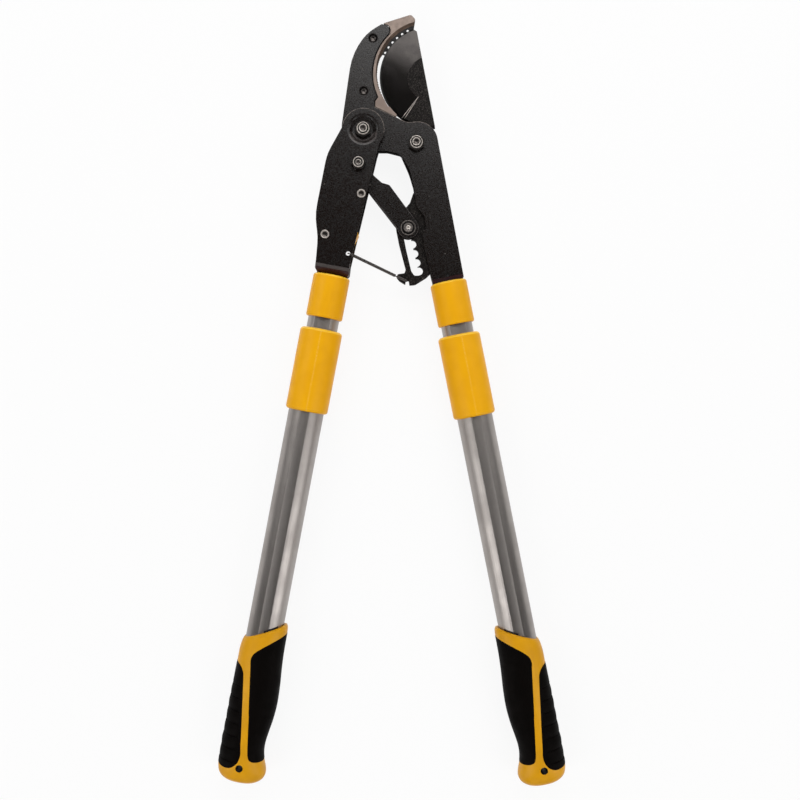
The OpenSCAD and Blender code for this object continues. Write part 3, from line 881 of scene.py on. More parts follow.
    def zone(self, number: int, test: Callable[[bmesh.types.BMFace], bool]) -> "Shape":
        """Give the faces that pass a test their own finish number.

        Args:
            number: the finish number.
            test: says whether a face takes it.

        Returns:
            The shape itself.
        """
        for face in self.bm.faces:
            if test(face):
                face.material_index = number
        return self

    def cut(self, tool: "Shape", zone: int = 0) -> "Shape":
        """Take the volume of another shape away.

        Args:
            tool: the shape to take away.
            zone: finish number of the cut's faces.

        Returns:
            A new shape.
        """
        objects = []
        for shape, number in ((self, 0), (tool, zone)):
            for face in shape.bm.faces:
                face.material_index += number
            mesh = bpy.data.meshes.new("cut")
            shape.bm.to_mesh(mesh)
            made = bpy.data.objects.new("cut", mesh)
            bpy.context.scene.collection.objects.link(made)
            for _ in range(3):
                mesh.materials.append(None)
            objects.append(made)
        modifier = objects[0].modifiers.new("cut", "BOOLEAN")
        modifier.operation = "DIFFERENCE"
        modifier.solver = "EXACT"
        modifier.object = objects[1]
        result = objects[0].evaluated_get(bpy.context.evaluated_depsgraph_get())
        shape = Shape()
        shape.bm.from_mesh(result.data)
        for made in objects:
            mesh = made.data
            bpy.data.objects.remove(made)
            bpy.data.meshes.remove(mesh)
        return shape

    def piece(self, name: str, finishes: Sequence[Finish], nodes: Sequence[str],
              matrix: Matrix = HEAD, crease: float = 32.0, body: str | None = None,
              weighted: bool = False) -> bpy.types.Object:
        """Turn the shape into a finished piece that rides on its body.

        Args:
            name: name of the piece.
            finishes: one finish for each finish number.
            nodes: CAD nodes that it stands for.
            matrix: its frame to the row frame.
            crease: angle in degrees above which an edge stays sharp.
            body: body to ride on, if not that of the first node.
            weighted: whether flat faces keep their shading beside rounded edges.

        Returns:
            The object.
        """
        self.bm.transform(matrix)
        if matrix.determinant() < 0:
            bmesh.ops.reverse_faces(self.bm, faces=self.bm.faces)
        for face in self.bm.faces:
            face.smooth = True
        for edge in self.bm.edges:
            edge.smooth = edge.calc_face_angle(0.0) < math.radians(crease)
        mesh = bpy.data.meshes.new(name)
        self.bm.to_mesh(mesh)
        self.bm.free()
        for finish in finishes:
            mesh.materials.append(finish.material())
        made = bpy.data.objects.new(name, mesh)
        bpy.context.scene.collection.objects.link(made)
        if weighted:
            modifier = made.modifiers.new("flat_shading", "WEIGHTED_NORMAL")
            modifier.keep_sharp = True
        if nodes:
            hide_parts(*nodes)
        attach(made, body or BODY_OF[nodes[0]])
        LOG.info("piece %s: %d faces", name, len(mesh.polygons))
        return made


def stand(point: Point2, height: float = 0.0, rear: bool = False) -> Matrix:
    """Place for a turned piece whose axis is the drawing's Z.

    Args:
        point: where the axis stands.
        height: height of its origin above the middle plane.
        rear: whether it is mirrored to the rear of the middle plane.

    Returns:
        The matrix.
    """
    flip = Matrix.Scale(-1.0, 4, Vector((0.0, 0.0, 1.0))) if rear else Matrix.Identity(4)
    return flip @ Matrix.Translation((*point, height))


def dress(node: str, finish: Finish) -> None:
    """Give a CAD node that stays in view its finish.

    Args:
        node: name of the node.
        finish: what it is made of.
    """
    mesh = frame["nodes"][node].data
    mesh.materials.clear()
    mesh.materials.append(finish.material())
    LOG.info("node %s: %s", node, finish.name)


BOLT_FINISHES = (DARK_ZINC, ZINC_HOLLOW_SHADE, ZINC_SHADOW)
NUT_FINISHES = (DARK_ZINC, BLACK_PLASTIC, ZINC_SHADOW, NUT_SHADE)


@dataclass
class LockNut:
    """Hexagon lock nut with its collar, on the end of a bolt."""

    across: float
    bore: float
    bolt_end: float
    play: float = 0.05
    crown_foot: float = 5.3
    collar_share: float = 0.43
    dish_share: float = 0.67

    @property
    def ring(self) -> float:
        """Radius of the nut's round collar."""
        return self.across * self.collar_share

    @property
    def corner(self) -> float:
        """Radius of the hexagon's corners."""
        return self.across / 2 / math.cos(math.pi / 6)

    def nut(self) -> Shape:
        """The nut, its foot at height 0.

        Returns:
            The nut with bright crown, shaded cone and sides in painted shadow.
        """
        half, ring, full = self.across / 2, self.ring, self.corner + self.play
        low = [(self.bore, 0.0), (half - 0.1, 0.0), (full, 0.75)]
        cone = [(full - (self.corner - ring) * t, 4.0 + 0.95 * t) for t in (0.0, 0.2, 0.4, 0.6, 0.8)]
        crown = [(ring + 0.05, 4.95), (ring, 5.2), (ring, 6.35)]
        crown += arc((ring - 0.45, 6.35), 0.45, 0.0, 180.0, 10)
        shape = Shape.lathe(low + cone + crown + [(ring - 0.9, 5.7), (self.bore, 5.7)])
        shape.clamp_hex(self.across, -0.1, 4.94)
        # Cone in painted shade; hexagon sides and the hollow inside the crown in painted shadow.
        shape.zone(3, lambda f: f.calc_center_median().z < self.crown_foot)
        shape.zone(2, lambda f: f.normal.z < 0.3 and f.calc_center_median().z < self.crown_foot)
        return shape.zone(2, lambda f: f.calc_center_median().xy.length < ring - 0.85)

    def insert(self) -> Shape:
        """The dark nylon ring inside the nut's collar.

        Returns:
            The ring.
        """
        ring = self.ring - 0.88
        return Shape.lathe([(self.bore, 5.5), (ring, 5.5), (ring, 5.95), (ring - 0.15, 6.05),
                            (self.bore + 0.05, 6.0)])

    def bolt_tip(self) -> Shape:
        """The bolt's end, with a few turns of thread and a dished middle.

        Returns:
            The end, by heights above the nut's foot.
        """
        radius, top = self.bore - 0.04, self.bolt_end
        threads: list[Point2] = []
        for turn in range(3):
            base = top - 3.6 + turn * 0.95
            threads += [(radius - 0.35, base), (radius, base + 0.45)]
        crown = [(radius - 0.3, top - 0.75)] + arc((radius - 0.85, top - 0.5), 0.5, 0.0, 180.0, 8)
        dish = [(radius * self.dish_share * t, top - 1.5 + 0.62 * t * t)
                for t in (1.0, 0.8, 0.6, 0.4, 0.2, 0.0)]
        shape = Shape.lathe([(0.0, top - 4.2), (radius - 0.35, top - 4.2)] + threads + crown + dish,
                            steps=48, closed=False)
        # Thread flanks in painted shadow.
        shape.zone(2, lambda f: f.calc_center_median().z < top - 0.7 and f.normal.z < 0.8)
        # Dished middle in darker zinc as painted shade.
        return shape.zone(1, lambda f: f.calc_center_median().xy.length < radius * self.dish_share)

    def head(self) -> Shape:
        """The bolt's hexagon head, its underside at height 0.

        Returns:
            The head.
        """
        half, full = self.across / 2, self.corner + self.play
        profile = [(0.0, 0.0), (half - 0.2, 0.0), (full, 0.4), (full, 4.2), (half - 0.15, 5.2),
                   (half - 1.4, 5.3), (half - 1.8, 5.0), (0.0, 4.9)]
        return Shape.lathe(profile, closed=False).clamp_hex(self.across, -0.1, 5.15)

    def bolt(self, point: Point2, foot: float, shank: tuple[float, float], steps: int = 48) -> Shape:
        """The whole bolt where it belongs.

        Args:
            point: where its axis stands.
            foot: height of the nut's foot.
            shank: heights of the shank's ends.
            steps: steps round the shank.

        Returns:
            Tip, head and shank together.
        """
        made = Shape().add(self.bolt_tip(), stand(point, foot))
        made.add(self.head(), stand(point, foot, True))
        return made.add(Shape.rod(self.bore - self.play, *shank, steps), stand(point))


@dataclass
class HookHead:
    """Hook plate, rear leg plate, counter-blade and what is fixed to them."""

    edge: float = 0.4
    screws: tuple[Point2, Point2] = ((-15.6, 323.3), (-23.9, 276.1))
    leg_pin: Point2 = (51.2, 111.7)
    primer_band: float = 4.2
    ear_left: float = -12.0
    ear_span: tuple[float, float] = (225.0, 262.0)
    tooth_rounding: float = 0.22

    def plates(self) -> None:
        """Both leg plates with rounded edges: painted highlight on the edges, painted shade on the side
        walls and the lower end.
        """
        foot = HEAD.inverted() @ Side.RIGHT.matrix() @ Matrix.Translation((0.0, 0.0, -self.primer_band))
        down = foot.to_3x3() @ Vector((0.0, 0.0, 1.0))
        for node in ("hook_plate", "rear_leg_plate"):
            shape = Shape.from_node(node)
            parts = [*shape.bm.verts, *shape.bm.edges, *shape.bm.faces]
            bmesh.ops.bisect_plane(shape.bm, geom=parts, dist=0.0005, plane_co=foot.translation,
                                   plane_no=down)
            # Painted shade, tinted red as a painted reflection of the yellow collar, on the plates'
            # lower end.
            shape.zone(3, lambda f: (f.calc_center_median() - foot.translation).dot(down) > 0.0)
            # Painted shade on the side walls.
            shape.zone(4, lambda f: abs(f.normal.z) < 0.8 and f.material_index == 0)
            # Painted highlight on the rounded edges, and a bright steel-coloured painted highlight on
            # the ear's upper edges.
            shape.soften(shape.sharp(40.0), self.edge, 2, zone=1)
            shape.zone(2, self.is_worn)
            shape.piece(f"{node}_painted", (BLACK_PAINT, EDGE_HIGHLIGHT_PAINT, TOP_EDGE_HIGHLIGHT, LIP_SHADE_PAINT, WALL_SHADE_PAINT),
                        (node,), weighted=True)

    def is_worn(self, face: bmesh.types.BMFace) -> bool:
        """Whether a face is on the upper edge of the ear that takes a painted highlight.

        Args:
            face: the face.

        Returns:
            The answer.
        """
        middle = face.calc_center_median()
        return face.material_index == 1 and face.normal.y > 0.3 and middle.z > 0.0 \
            and middle.x > self.ear_left and self.ear_span[0] < middle.y < self.ear_span[1]

    def counter_blade(self) -> None:
        """The toothed insert: its ledge is darker than its face as painted shade, its walls and teeth
        nearly black as painted shadow.
        """
        shape = Shape.from_node("hook_insert")
        shape.zone(2, lambda f: f.normal.z < 0.9)
        shape.zone(2, lambda f: f.normal.z > 0.9 and f.calc_center_median().z < 5.9)
        shape.zone(1, lambda f: 0.2 < f.normal.z < 0.9)
        shape.soften(shape.sharp(50.0), self.tooth_rounding, 2)
        shape.piece("counter_blade", (TAUPE, TAUPE_LEDGE_SHADE, TAUPE_SHADOW), ("hook_insert",),
                    weighted=True)

    def small_fasteners(self) -> None:
        """The dished screws of the counter-blade and the pin of the leg."""
        screw = Shape()
        for point in self.screws:
            head = [(2.45 * t, 4.4 + 0.6 * t * t) for t in (0.0, 0.2, 0.4, 0.6, 0.8, 1.0)]
            head += arc((2.7, 4.9), 0.25, 160.0, -40.0, 5) + [(2.0, 4.3), (2.0, 2.4), (0.0, 2.4)]
            part = Shape.lathe(head, steps=48, closed=False)
            # Rims and shanks of the screws in painted shadow.
            part.zone(1, lambda f: f.calc_center_median().xy.length > 2.45)
            screw.add(part, stand(point))
        # Screw heads in darker zinc as painted shade in their countersinks.
        screw.piece("hook_screws_turned", (ZINC_HOLLOW_SHADE, ZINC_SHADOW), ("hook_screws",))
        pin = Shape.lathe([(0.0, -6.0), (1.5, -6.0), (1.5, 5.4), (1.2, 5.7), (0.5, 5.6), (0.0, 5.3)],
                          steps=32, closed=False)
        Shape().add(pin, stand(self.leg_pin)).piece("leg_pin_turned", (BLACK_PLASTIC,), ("leg_pin",))

    @staticmethod
    def pivot_bolts() -> None:
        """The two pivot bolts with their nuts."""
        nuts = Shape()
        for point, foot, end, node in ((PIVOT, 9.9, 7.7, "pivot_bolt"),
                                       (BLADE_PIVOT, 6.35, 7.85, "blade_bolt")):
            kit = LockNut(13.0, 4.03, end)
            turned = stand(point, foot) @ Matrix.Rotation(math.radians(30.0), 4, "Z")
            nuts.add(kit.nut(), turned).add(kit.insert(), stand(point, foot), 1)
            kit.bolt(point, foot, (-foot, foot + 3.0)).piece(f"{node}_turned", BOLT_FINISHES, (node,))
        nuts.piece("lock_nuts_turned", NUT_FINISHES, ("lock_nuts",))
        dress("pivot_spacer", ZINC)

    def build(self) -> None:
        """Make the whole hook head."""
        self.plates()
        self.counter_blade()
        self.small_fasteners()
        self.pivot_bolts()


@dataclass
class CuttingBlade:
    """Ground blade with its black patch, ear and toothed tail."""

    edge: float = 0.18
    ridges: tuple[tuple[Point2, Point2], ...] = (((25.4, 272.2), (9.9, 252.4)),
                                                 ((23.2, 268.6), (12.3, 251.8)))
    burr: float = 0.6
    arc_middle: Point2 = (36.8, 290.3)
    arc_radius: float = 46.6
    bevel_radius: float = 44.6
    bevel_corner: Point2 = (22.0, 247.0)

    def build(self) -> None:
        """Make the blade and finish its faces by what was ground, its bevel in painted shade and its
        burrs in painted highlight.
        """
        shape = Shape.from_node("blade")
        shape.soften([e for e in shape.sharp(40.0) if self.is_plain(e)], self.edge, 2)
        shape.zone(1, lambda f: f.normal.z > 0.9 and 1.5 < f.calc_center_median().z < 1.8)
        shape.zone(1, lambda f: f.normal.z < -0.9)
        # Bevel along the cutting edge in painted shade.
        shape.zone(2, self.is_bevel)
        # Burrs in painted highlight.
        for first, last in self.ridges:
            shape.add(self.ridge(Vector(first), Vector(last)), zone=3)
        shape.piece("blade_ground", (BLADE_BLACK, GROUND_STEEL, BLADE_BEVEL_SHADE, BLADE_BURR_HIGHLIGHT), ("blade",),
                    weighted=True)

    def ridge(self, first: Vector, last: Vector) -> Shape:
        """A thin raised burr left by grinding.

        Args:
            first: one end on the drawing.
            last: the other end.

        Returns:
            The burr, tapered at both ends.
        """
        along = last - first
        profile = [(0.0, 0.0), (0.12, 0.03), (0.3, 0.15), (0.3, 0.85), (0.12, 0.97), (0.0, 1.0)]
        shape = Shape.lathe(profile, steps=10, closed=False)
        turn = math.atan2(along.y, along.x)
        shape.bm.transform(Matrix.Translation((first.x, first.y, 2.0)) @ Matrix.Rotation(turn, 4, "Z")
                           @ Matrix.Scale(self.burr, 4, Vector((0.0, 0.0, 1.0)))
                           @ Matrix.Rotation(math.pi / 2, 4, "Y")
                           @ Matrix.Scale(along.length, 4, Vector((0.0, 0.0, 1.0))))
        return shape

    def from_arc(self, spot: Vector) -> float:
        """Distance of a point from the middle of the cutting edge's arc."""
        return math.hypot(spot.x - self.arc_middle[0], spot.y - self.arc_middle[1])

    def is_plain(self, edge: bmesh.types.BMEdge) -> bool:
        """Whether an edge is away from the cutting edge itself.

        Args:
            edge: the edge.

        Returns:
            The answer.
        """
        middle = (edge.verts[0].co + edge.verts[1].co) / 2
        near = abs(self.from_arc(middle) - self.arc_radius) < 0.3
        return not (near and middle.z < -1.9)

    def is_bevel(self, face: bmesh.types.BMFace) -> bool:
        """Whether a face belongs to the ground bevel along the cutting edge.

        Args:
            face: the face.

        Returns:
            The answer.
        """
        middle, (right, low) = face.calc_center_median(), self.bevel_corner
        return 0.2 < face.normal.z < 0.95 and middle.x < right and middle.y > low \
            and self.from_arc(middle) > self.bevel_radius


@dataclass
class LeftPlates:
    """The two dished plates of the left handle, their rivets and link bolt."""

    rivets: tuple[Point2, Point2] = ((-25.9, 183.3), (-58.2, 147.1))
    nut_foot: float = 12.05
    edge: float = 0.4
    dish_edge: float = 1.4
    dish_rim: tuple[float, float] = (9.0, 14.0)
    dish_zone: tuple[float, float] = (8.0, 15.0)
    roll_start: float = 126.0
    top_radius: float = 17.5

    def plates(self) -> None:
        """Pressed plates, soft round the dish, with painted highlights and painted shade."""
        for node in ("left_front_plate", "left_rear_plate"):
            shape = Shape.from_node(node)
            dish = [e for e in shape.sharp(20.0, 70.0) if self.in_dish(e)]
            shape.soften(dish, self.dish_edge, 5)
            # Painted shade on the side walls above the rolled end.
            shape.zone(5, lambda f: abs(f.normal.z) < 0.3 and f.calc_center_median().y > self.roll_start)
            # Painted highlight on the dish's wall where it leans towards the jaws.
            shape.zone(3, lambda f: self.lean(f) > 0.1)
            shape.soften(shape.sharp(50.0), self.edge, 2, zone=1)
            # Painted shade, tinted red as a painted reflection of the yellow collar, on the rolled lower
            # end; painted highlight on its crest.
            shape.zone(2, lambda f: self.roll(f) > 0.42)
            shape.zone(3, lambda f: 0.06 < self.roll(f) <= 0.42)
            # Bright steel-coloured painted highlight on the round top edge.
            shape.zone(4, self.is_worn)
            shape.piece(f"{node}_painted", (BLACK_PAINT, EDGE_HIGHLIGHT_PAINT, LIP_SHADE_PAINT, SHEEN_HIGHLIGHT_PAINT, TOP_EDGE_HIGHLIGHT,
                                            WALL_SHADE_PAINT), (node,), weighted=True)

    @staticmethod
    def from_pivot(spot: Vector) -> Vector:
        """Way from the main pivot to a point, seen from above."""
        return Vector((spot.x - PIVOT[0], spot.y - PIVOT[1]))

    def in_dish(self, edge: bmesh.types.BMEdge) -> bool:
        """Whether an edge runs round the dish of the main pivot."""
        middle = (edge.verts[0].co + edge.verts[1].co) / 2
        return self.dish_rim[0] < self.from_pivot(middle).length < self.dish_rim[1]

    def lean(self, face: bmesh.types.BMFace) -> float:
        """How far a face of the dish leans towards the jaws.

        Args:
            face: the face.

        Returns:
            The lean, 0 away from the dish.
        """
        away = self.from_pivot(face.calc_center_median()).length
        near = self.dish_zone[0] < away < self.dish_zone[1]
        return face.normal.y if near and 0.3 < face.normal.z < 0.99 else 0.0

    def roll(self, face: bmesh.types.BMFace) -> float:
        """How far a face of the rolled lower end leans towards the tube.

        Args:
            face: the face.

        Returns:
            The lean, 0 away from that end.
        """
        tilt = math.radians(Side.LEFT.value.tilt)
        down = Vector((-math.sin(tilt), -math.cos(tilt), 0.0))
        return face.normal.dot(down) if face.calc_center_median().y < self.roll_start else 0.0

    def is_worn(self, face: bmesh.types.BMFace) -> bool:
        """Whether a face is on the round top edge that takes a painted highlight.

        Args:
            face: the face.

        Returns:
            The answer.
        """
        middle = face.calc_center_median()
        away = self.from_pivot(middle)
        return face.material_index == 1 and middle.z > 10.0 and away.length > self.top_radius \
            and away.y > -0.2 * away.x and face.normal.y > -0.2

    def hollow_rivets(self) -> None:
        """Both rivets, with a hollow head on either side."""
        rivets = Shape()
        for point in self.rivets:
            for rear in (False, True):
                head = [(2.4, 9.2), (3.9, 9.2), (3.9, 12.2)]
                head += arc((3.2, 12.3), 0.7, 0.0, 180.0, 10) + [(2.4, 11.4)]
                rivets.add(Shape.lathe(head, steps=48), stand(point, 0.0, rear))
                core = [(2.45 * t, 11.0 + 0.4 * t * t) for t in (0.0, 0.25, 0.5, 0.75, 1.0)]
                core += [(2.45, 0.0), (0.0, 0.0)]
                # Hollow heads in darker zinc as painted shade.
                rivets.add(Shape.lathe(core, steps=32, closed=False), stand(point, 0.0, rear), 1)
            rivets.add(Shape.rod(3.9, -8.9, 8.9), stand(point), 1)
        rivets.piece("plate_rivets_turned", (ZINC, ZINC_HOLLOW_SHADE), ("plate_rivets",))

    def link_bolt(self) -> None:
        """Link bolt, its nut and washers."""
        kit, place = LockNut(11.0, 3.03, 5.55), stand(LINK_PIVOT, self.nut_foot)
        nut = Shape().add(kit.nut(), place).add(kit.insert(), place, 1)
        nut.piece("link_nut_turned", NUT_FINISHES, ("link_nut",))
        bolt = kit.bolt(LINK_PIVOT, self.nut_foot, (-12.3, 14.5), 40)
        bolt.piece("link_bolt_turned", BOLT_FINISHES, ("link_bolt",))
        dress("link_washers", ZINC)

    def build(self) -> None:
        """Make the plates and what holds them."""
        self.plates()
        self.hollow_rivets()
        self.link_bolt()


@dataclass
class RatchetLink:
    """Link plates with the ratchet pin and its washers."""

    edge: float = 0.3

    def build(self) -> None:
        """Make the link."""
        for node in ("link_front_plate", "link_rear_plate"):
            shape = Shape.from_node(node)
            # Painted shade on the side walls, painted highlight on the rounded edges.
            shape.zone(2, lambda f: abs(f.normal.z) < 0.3)
            shape.soften(shape.sharp(40.0), self.edge, 2, zone=1)
            shape.piece(f"{node}_painted", (BLACK_PAINT, SHEEN_HIGHLIGHT_PAINT, WALL_SHADE_PAINT), (node,),
                        weighted=True)
        washers, pin = Shape(), Shape()
        for rear in (False, True):
            ring = [(2.95, 5.65), (6.4, 5.65)] + arc((6.3, 6.25), 0.6, -60.0, 165.0, 9)
            ring += [(5.6, 6.2), (4.4, 6.15), (2.95, 6.15)]
            part = Shape.lathe(ring)
            # Washer bodies in painted shadow, their outer rims grey.
            part.zone(1, lambda f: f.calc_center_median().xy.length > 5.7)
            washers.add(part, stand(RATCHET, 0.0, rear))
            head = [(2.9, 0.0), (2.9, 6.7), (4.2, 6.8), (4.25, 7.4)]
            head += arc((3.6, 7.75), 0.65, 0.0, 90.0, 5)
            head += [(3.2, 8.3), (2.6, 8.05), (2.0, 7.9), (1.6, 8.0), (1.25, 8.25), (1.0, 8.2),
                     (0.75, 7.3), (0.0, 7.2)]
            pin.add(Shape.lathe(head, steps=56, closed=False), stand(RATCHET, 0.0, rear))
        pin.zone(1, lambda f: (f.calc_center_median().xy - Vector(RATCHET)).length < 2.1)
        washers.piece("pin_washers_turned", (ZINC_SHADOW, GREY_ZINC), ("pin_washers",))
        pin.piece("ratchet_pin_turned", (GREY_ZINC, DARK_ZINC), ("ratchet_pin",))
        dress("link_sleeve", ZINC)


@dataclass
class ReturnSpring:
    """Wound wire from the left plate's hole to the hook bar at the blade's foot."""

    foot: Point2 = (-37.7, 130.0)
    angle: float = -24.5
    start: Point2 = (2.5, 13.5)
    knee: Point2 = (5.6, 13.45)
    end: Point2 = (46.6, 3.95)
    pitch: float = 1.0
    radius: float = 1.0
    wire: float = 0.98
    steps: int = 16
    bar: float = 3.3
    bar_wire: float = 1.1

    def place(self) -> Matrix:
        """Spring frame to the row frame: X along the spring."""
        return HEAD @ Matrix.Translation((*self.foot, 0.0)) \
            @ Matrix.Rotation(math.radians(self.angle), 4, "Z")

    def coil(self) -> list[Point3]:
        """The wire's middle line, from its standing end to the hook bar.

        Returns:
            Its points in the spring frame.
        """
        line = [Vector((x, 0.0, z)) for x, z in (self.start, self.knee, self.end)]
        flat = (line[1] - line[0]).length
        whole = flat + (line[2] - line[1]).length
        curls = round(whole / self.pitch)
        path: list[Point3] = [(0.0, 0.0, 9.4), (0.0, 0.0, 12.4), (0.12, 0.0, 13.1),
                              (0.5, 0.0, 13.5), (1.2, 0.0, 13.7)]
        for i in range(curls * self.steps + 1):
            t = i / (curls * self.steps)
            first = t * whole < flat
            a, b = (line[0], line[1]) if first else (line[1], line[2])
            along = (b - a).normalized()
            spot = a + along * (t * whole - (0.0 if first else flat))
            turn = i / self.steps * math.tau
            swell = self.radius * min(1.0, t * curls / 0.7, (1 - t) * curls / 0.7)
            spot += Vector((-along.z, 0.0, along.x)) * (swell * math.cos(turn))
            path.append((spot.x, swell * math.sin(turn), spot.z))
        return path + [(47.0, 0.0, 3.7), (47.4, 0.0, 3.4), (47.9, 0.0, self.bar)]

    def wind(self, name: str, path: Sequence[Point3], wire: float, node: str,
             cyclic: bool = False) -> bpy.types.Object:
        """Draw a round wire along a path and make it a mesh.

        Args:
            name: name of the piece.
            path: points in the spring frame, in millimetres.
            wire: its diameter.
            node: CAD node that it stands for.
            cyclic: whether the path closes.

        Returns:
            The mesh object, which rides on nothing yet.
        """
        curve = bpy.data.curves.new(name, "CURVE")
        curve.dimensions = "3D"
        curve.bevel_depth = wire / 2000
        curve.bevel_resolution = 2
        curve.use_fill_caps = True
        spline = curve.splines.new("POLY")
        spline.points.add(len(path) - 1)
        spline.use_cyclic_u = cyclic
        place = self.place()
        for point, spot in zip(spline.points, path):
            point.co = (*(place @ Vector(spot)), 1.0)
        drawn = bpy.data.objects.new(f"{name}_line", curve)
        bpy.context.scene.collection.objects.link(drawn)
        shaped = drawn.evaluated_get(bpy.context.evaluated_depsgraph_get())
        mesh = bpy.data.meshes.new_from_object(shaped)
        bpy.data.objects.remove(drawn)
        bpy.data.curves.remove(curve)
        mesh.materials.clear()
        mesh.materials.append(SPRING_STEEL.material())
        for polygon in mesh.polygons:
            polygon.use_smooth = True
        made = bpy.data.objects.new(name, mesh)
        bpy.context.scene.collection.objects.link(made)
        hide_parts(node)
        LOG.info("piece %s: %d faces", name, len(mesh.polygons))
        return made

    def build(self) -> None:
        """Wind the coil and bend its hook bar."""
        coil = self.wind("return_spring_wound", self.coil(), self.wire, "return_spring")
        place = self.place()
        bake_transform(coil)
        loop: list[Point3] = [(47.9, y, self.bar) for y in (0.55, -0.55)]
        loop += [(x, -0.6, self.bar) for x in (50.0, 53.0, 56.2)]
        loop += [(56.6 + 0.62 * math.cos(a), 0.62 * math.sin(a), self.bar)
                 for a in (-1.2, -0.6, 0.0, 0.6, 1.2)]
        loop += [(x, 0.6, self.bar) for x in (56.2, 53.0, 50.0)]
        bar = self.wind("spring_hook_bent", loop, self.bar_wire, "spring_hook", cyclic=True)
        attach(bar, "spring_end")


@dataclass
class TubeHandle:
    """Telescoping handle of one side: plug, collars, tubes and lock."""

    side: Side
    collar: float = 16.5
    collar_bore: float = 14.03
    collar_length: float = 39.0
    lock: float = 19.0
    lock_mouth: float = 14.4
    lock_bore: float = 16.25
    collet_room: float = 17.7
    lock_ends: tuple[float, float] = (49.3, 124.0)
    inner: float = 14.0
    inner_ends: tuple[float, float] = (18.0, 424.0)
    outer: float = 15.9
    outer_ends: tuple[float, float] = (64.2, 440.0)
    tube_crease: float = 12.0

    @staticmethod
    def fluted(radius: float, flute: float, away: float, count: int = 42) -> list[Point2]:
        """Outline of a round tube with a flute along its front and its back.

        Args:
            radius: radius of the tube.
            flute: radius of the flute's arc.
            away: how far from the axis the arc's middle lies.
            count: points of each of the four stretches.

        Returns:
            The outline's points.
        """
        half = math.acos((radius ** 2 + away ** 2 - flute ** 2) / (2 * radius * away))
        corners = [math.pi / 2 - half, math.pi / 2 + half, 3 * math.pi / 2 - half,
                   3 * math.pi / 2 + half, math.tau + math.pi / 2 - half]
        points: list[Point2] = []
        for index, (first, last) in enumerate(zip(corners, corners[1:])):
            for step in range(count):
                a = first + (last - first) * step / count
                reach = radius
                if index in (0, 2):
                    along = away * abs(math.sin(a))
                    reach = along - math.sqrt(flute ** 2 - away ** 2 + along ** 2)
                points.append((reach * math.cos(a), reach * math.sin(a)))
        return points

    def collars(self) -> None:
        """Upper collar and lock collar, with rounded ends."""
        title, r, bore, end = self.side.title, self.collar, self.collar_bore, self.collar_length
        upper = [(bore, 0.0), (r - 2.2, 0.0)] + arc((r - 2.2, 2.2), 2.2, -90.0, 0.0, 8)
        upper += arc((r - 1.8, end - 1.8), 1.8, 0.0, 90.0, 8) + [(bore, end)]
        shape = Shape.lathe(upper, steps=128)
        # The upper collar's rounded mouth in a paler painted highlight.
        shape.zone(1, lambda f: -0.97 < f.normal.z < -0.2)
        shape.piece(f"{title}_upper_collar_moulded", (self.side.amber(False), self.side.rim()),
                    (f"{title}_upper_collar",), self.side.matrix())
        r, mouth, (top, end) = self.lock, self.lock_mouth, self.lock_ends
        lock = [(mouth, top), (r - 3.2, top)] + arc((r - 3.2, top + 3.2), 3.2, -90.0, 0.0, 10)
        lock += arc((r - 2.8, end - 2.8), 2.8, 0.0, 90.0, 10)
        lock += [(self.lock_bore, end), (self.lock_bore, 64.6), (self.collet_room, 64.4),
                 (self.collet_room, 54.1), (mouth, 54.0)]
        shape = Shape.lathe(lock, steps=128)
        # The lock collar's rounded mouth in a paler painted highlight.
        shape.zone(1, lambda f: -0.97 < f.normal.z < -0.35 and f.calc_center_median().z < 53.0)
        shape.piece(f"{title}_lock_collar_moulded", (self.side.amber(True), self.side.rim()),
                    (f"{title}_lock_collar",), self.side.lock)

    def tubes(self) -> None:
        """Inner and outer tube, drawn with their flutes."""
        for name, skin, bore, ends, place in (
                ("inner", self.fluted(self.inner, 40.0, 51.5), (0.9, 0.89), self.inner_ends,
                 self.side.matrix()),
                ("outer", self.fluted(self.outer, 20.0, 34.84), (0.918, 0.918), self.outer_ends,
                 self.side.outer)):
            hollow = [(x * bore[0], y * bore[1]) for x, y in skin]
            tube = f"{self.side.title}_{name}_tube"
            Shape.tube(skin, hollow, *ends).piece(f"{tube}_drawn", (self.side.alloy(name),), (tube,),
                                                  place, crease=self.tube_crease)

    def build(self) -> None:
        """Make the handle and dress what stays of its CAD nodes."""
        self.collars()
        self.tubes()
        dress(f"{self.side.title}_plug", self.side.amber(False))
        dress(f"{self.side.title}_guide", BLACK_PLASTIC)
        dress(f"{self.side.title}_collet", BLACK_PLASTIC)


# Sections of the grip: station, reach on the outer side, on the inner side and to the front, lean
GRIP_SECTIONS = np.array((
    (324, 16.7, 16.9, 16.7, -0.49), (325, 17.6, 18.6, 17.6, -0.49),
    (328.5, 18.5, 19.9, 18.3, -0.46), (336, 19.2, 20.1, 18.8, -0.36), (346, 19.3, 20.3, 19, -0.22),
    (358, 19.2, 21.1, 19.2, -0.1), (372, 19.3, 22.4, 19.3, -0.03), (388, 19.5, 23, 19.3, 0),
    (402, 19.4, 22, 19.3, 0), (414, 19.4, 20.2, 19.2, 0), (424, 19.6, 19, 19.1, 0),
    (432, 19.4, 19.3, 19, 0), (439.5, 19.3, 21.1, 18.9, 0), (446, 19.3, 23.6, 18.6, 0),
    (450.6, 18.6, 24.4, 18, 0), (454.8, 17, 23, 16.8, 0), (457.9, 13.8, 19.6, 14.4, 0),
    (459.9, 9, 15, 10.5, 0), (460.8, 2.5, 9, 5, 0)), dtype=float)


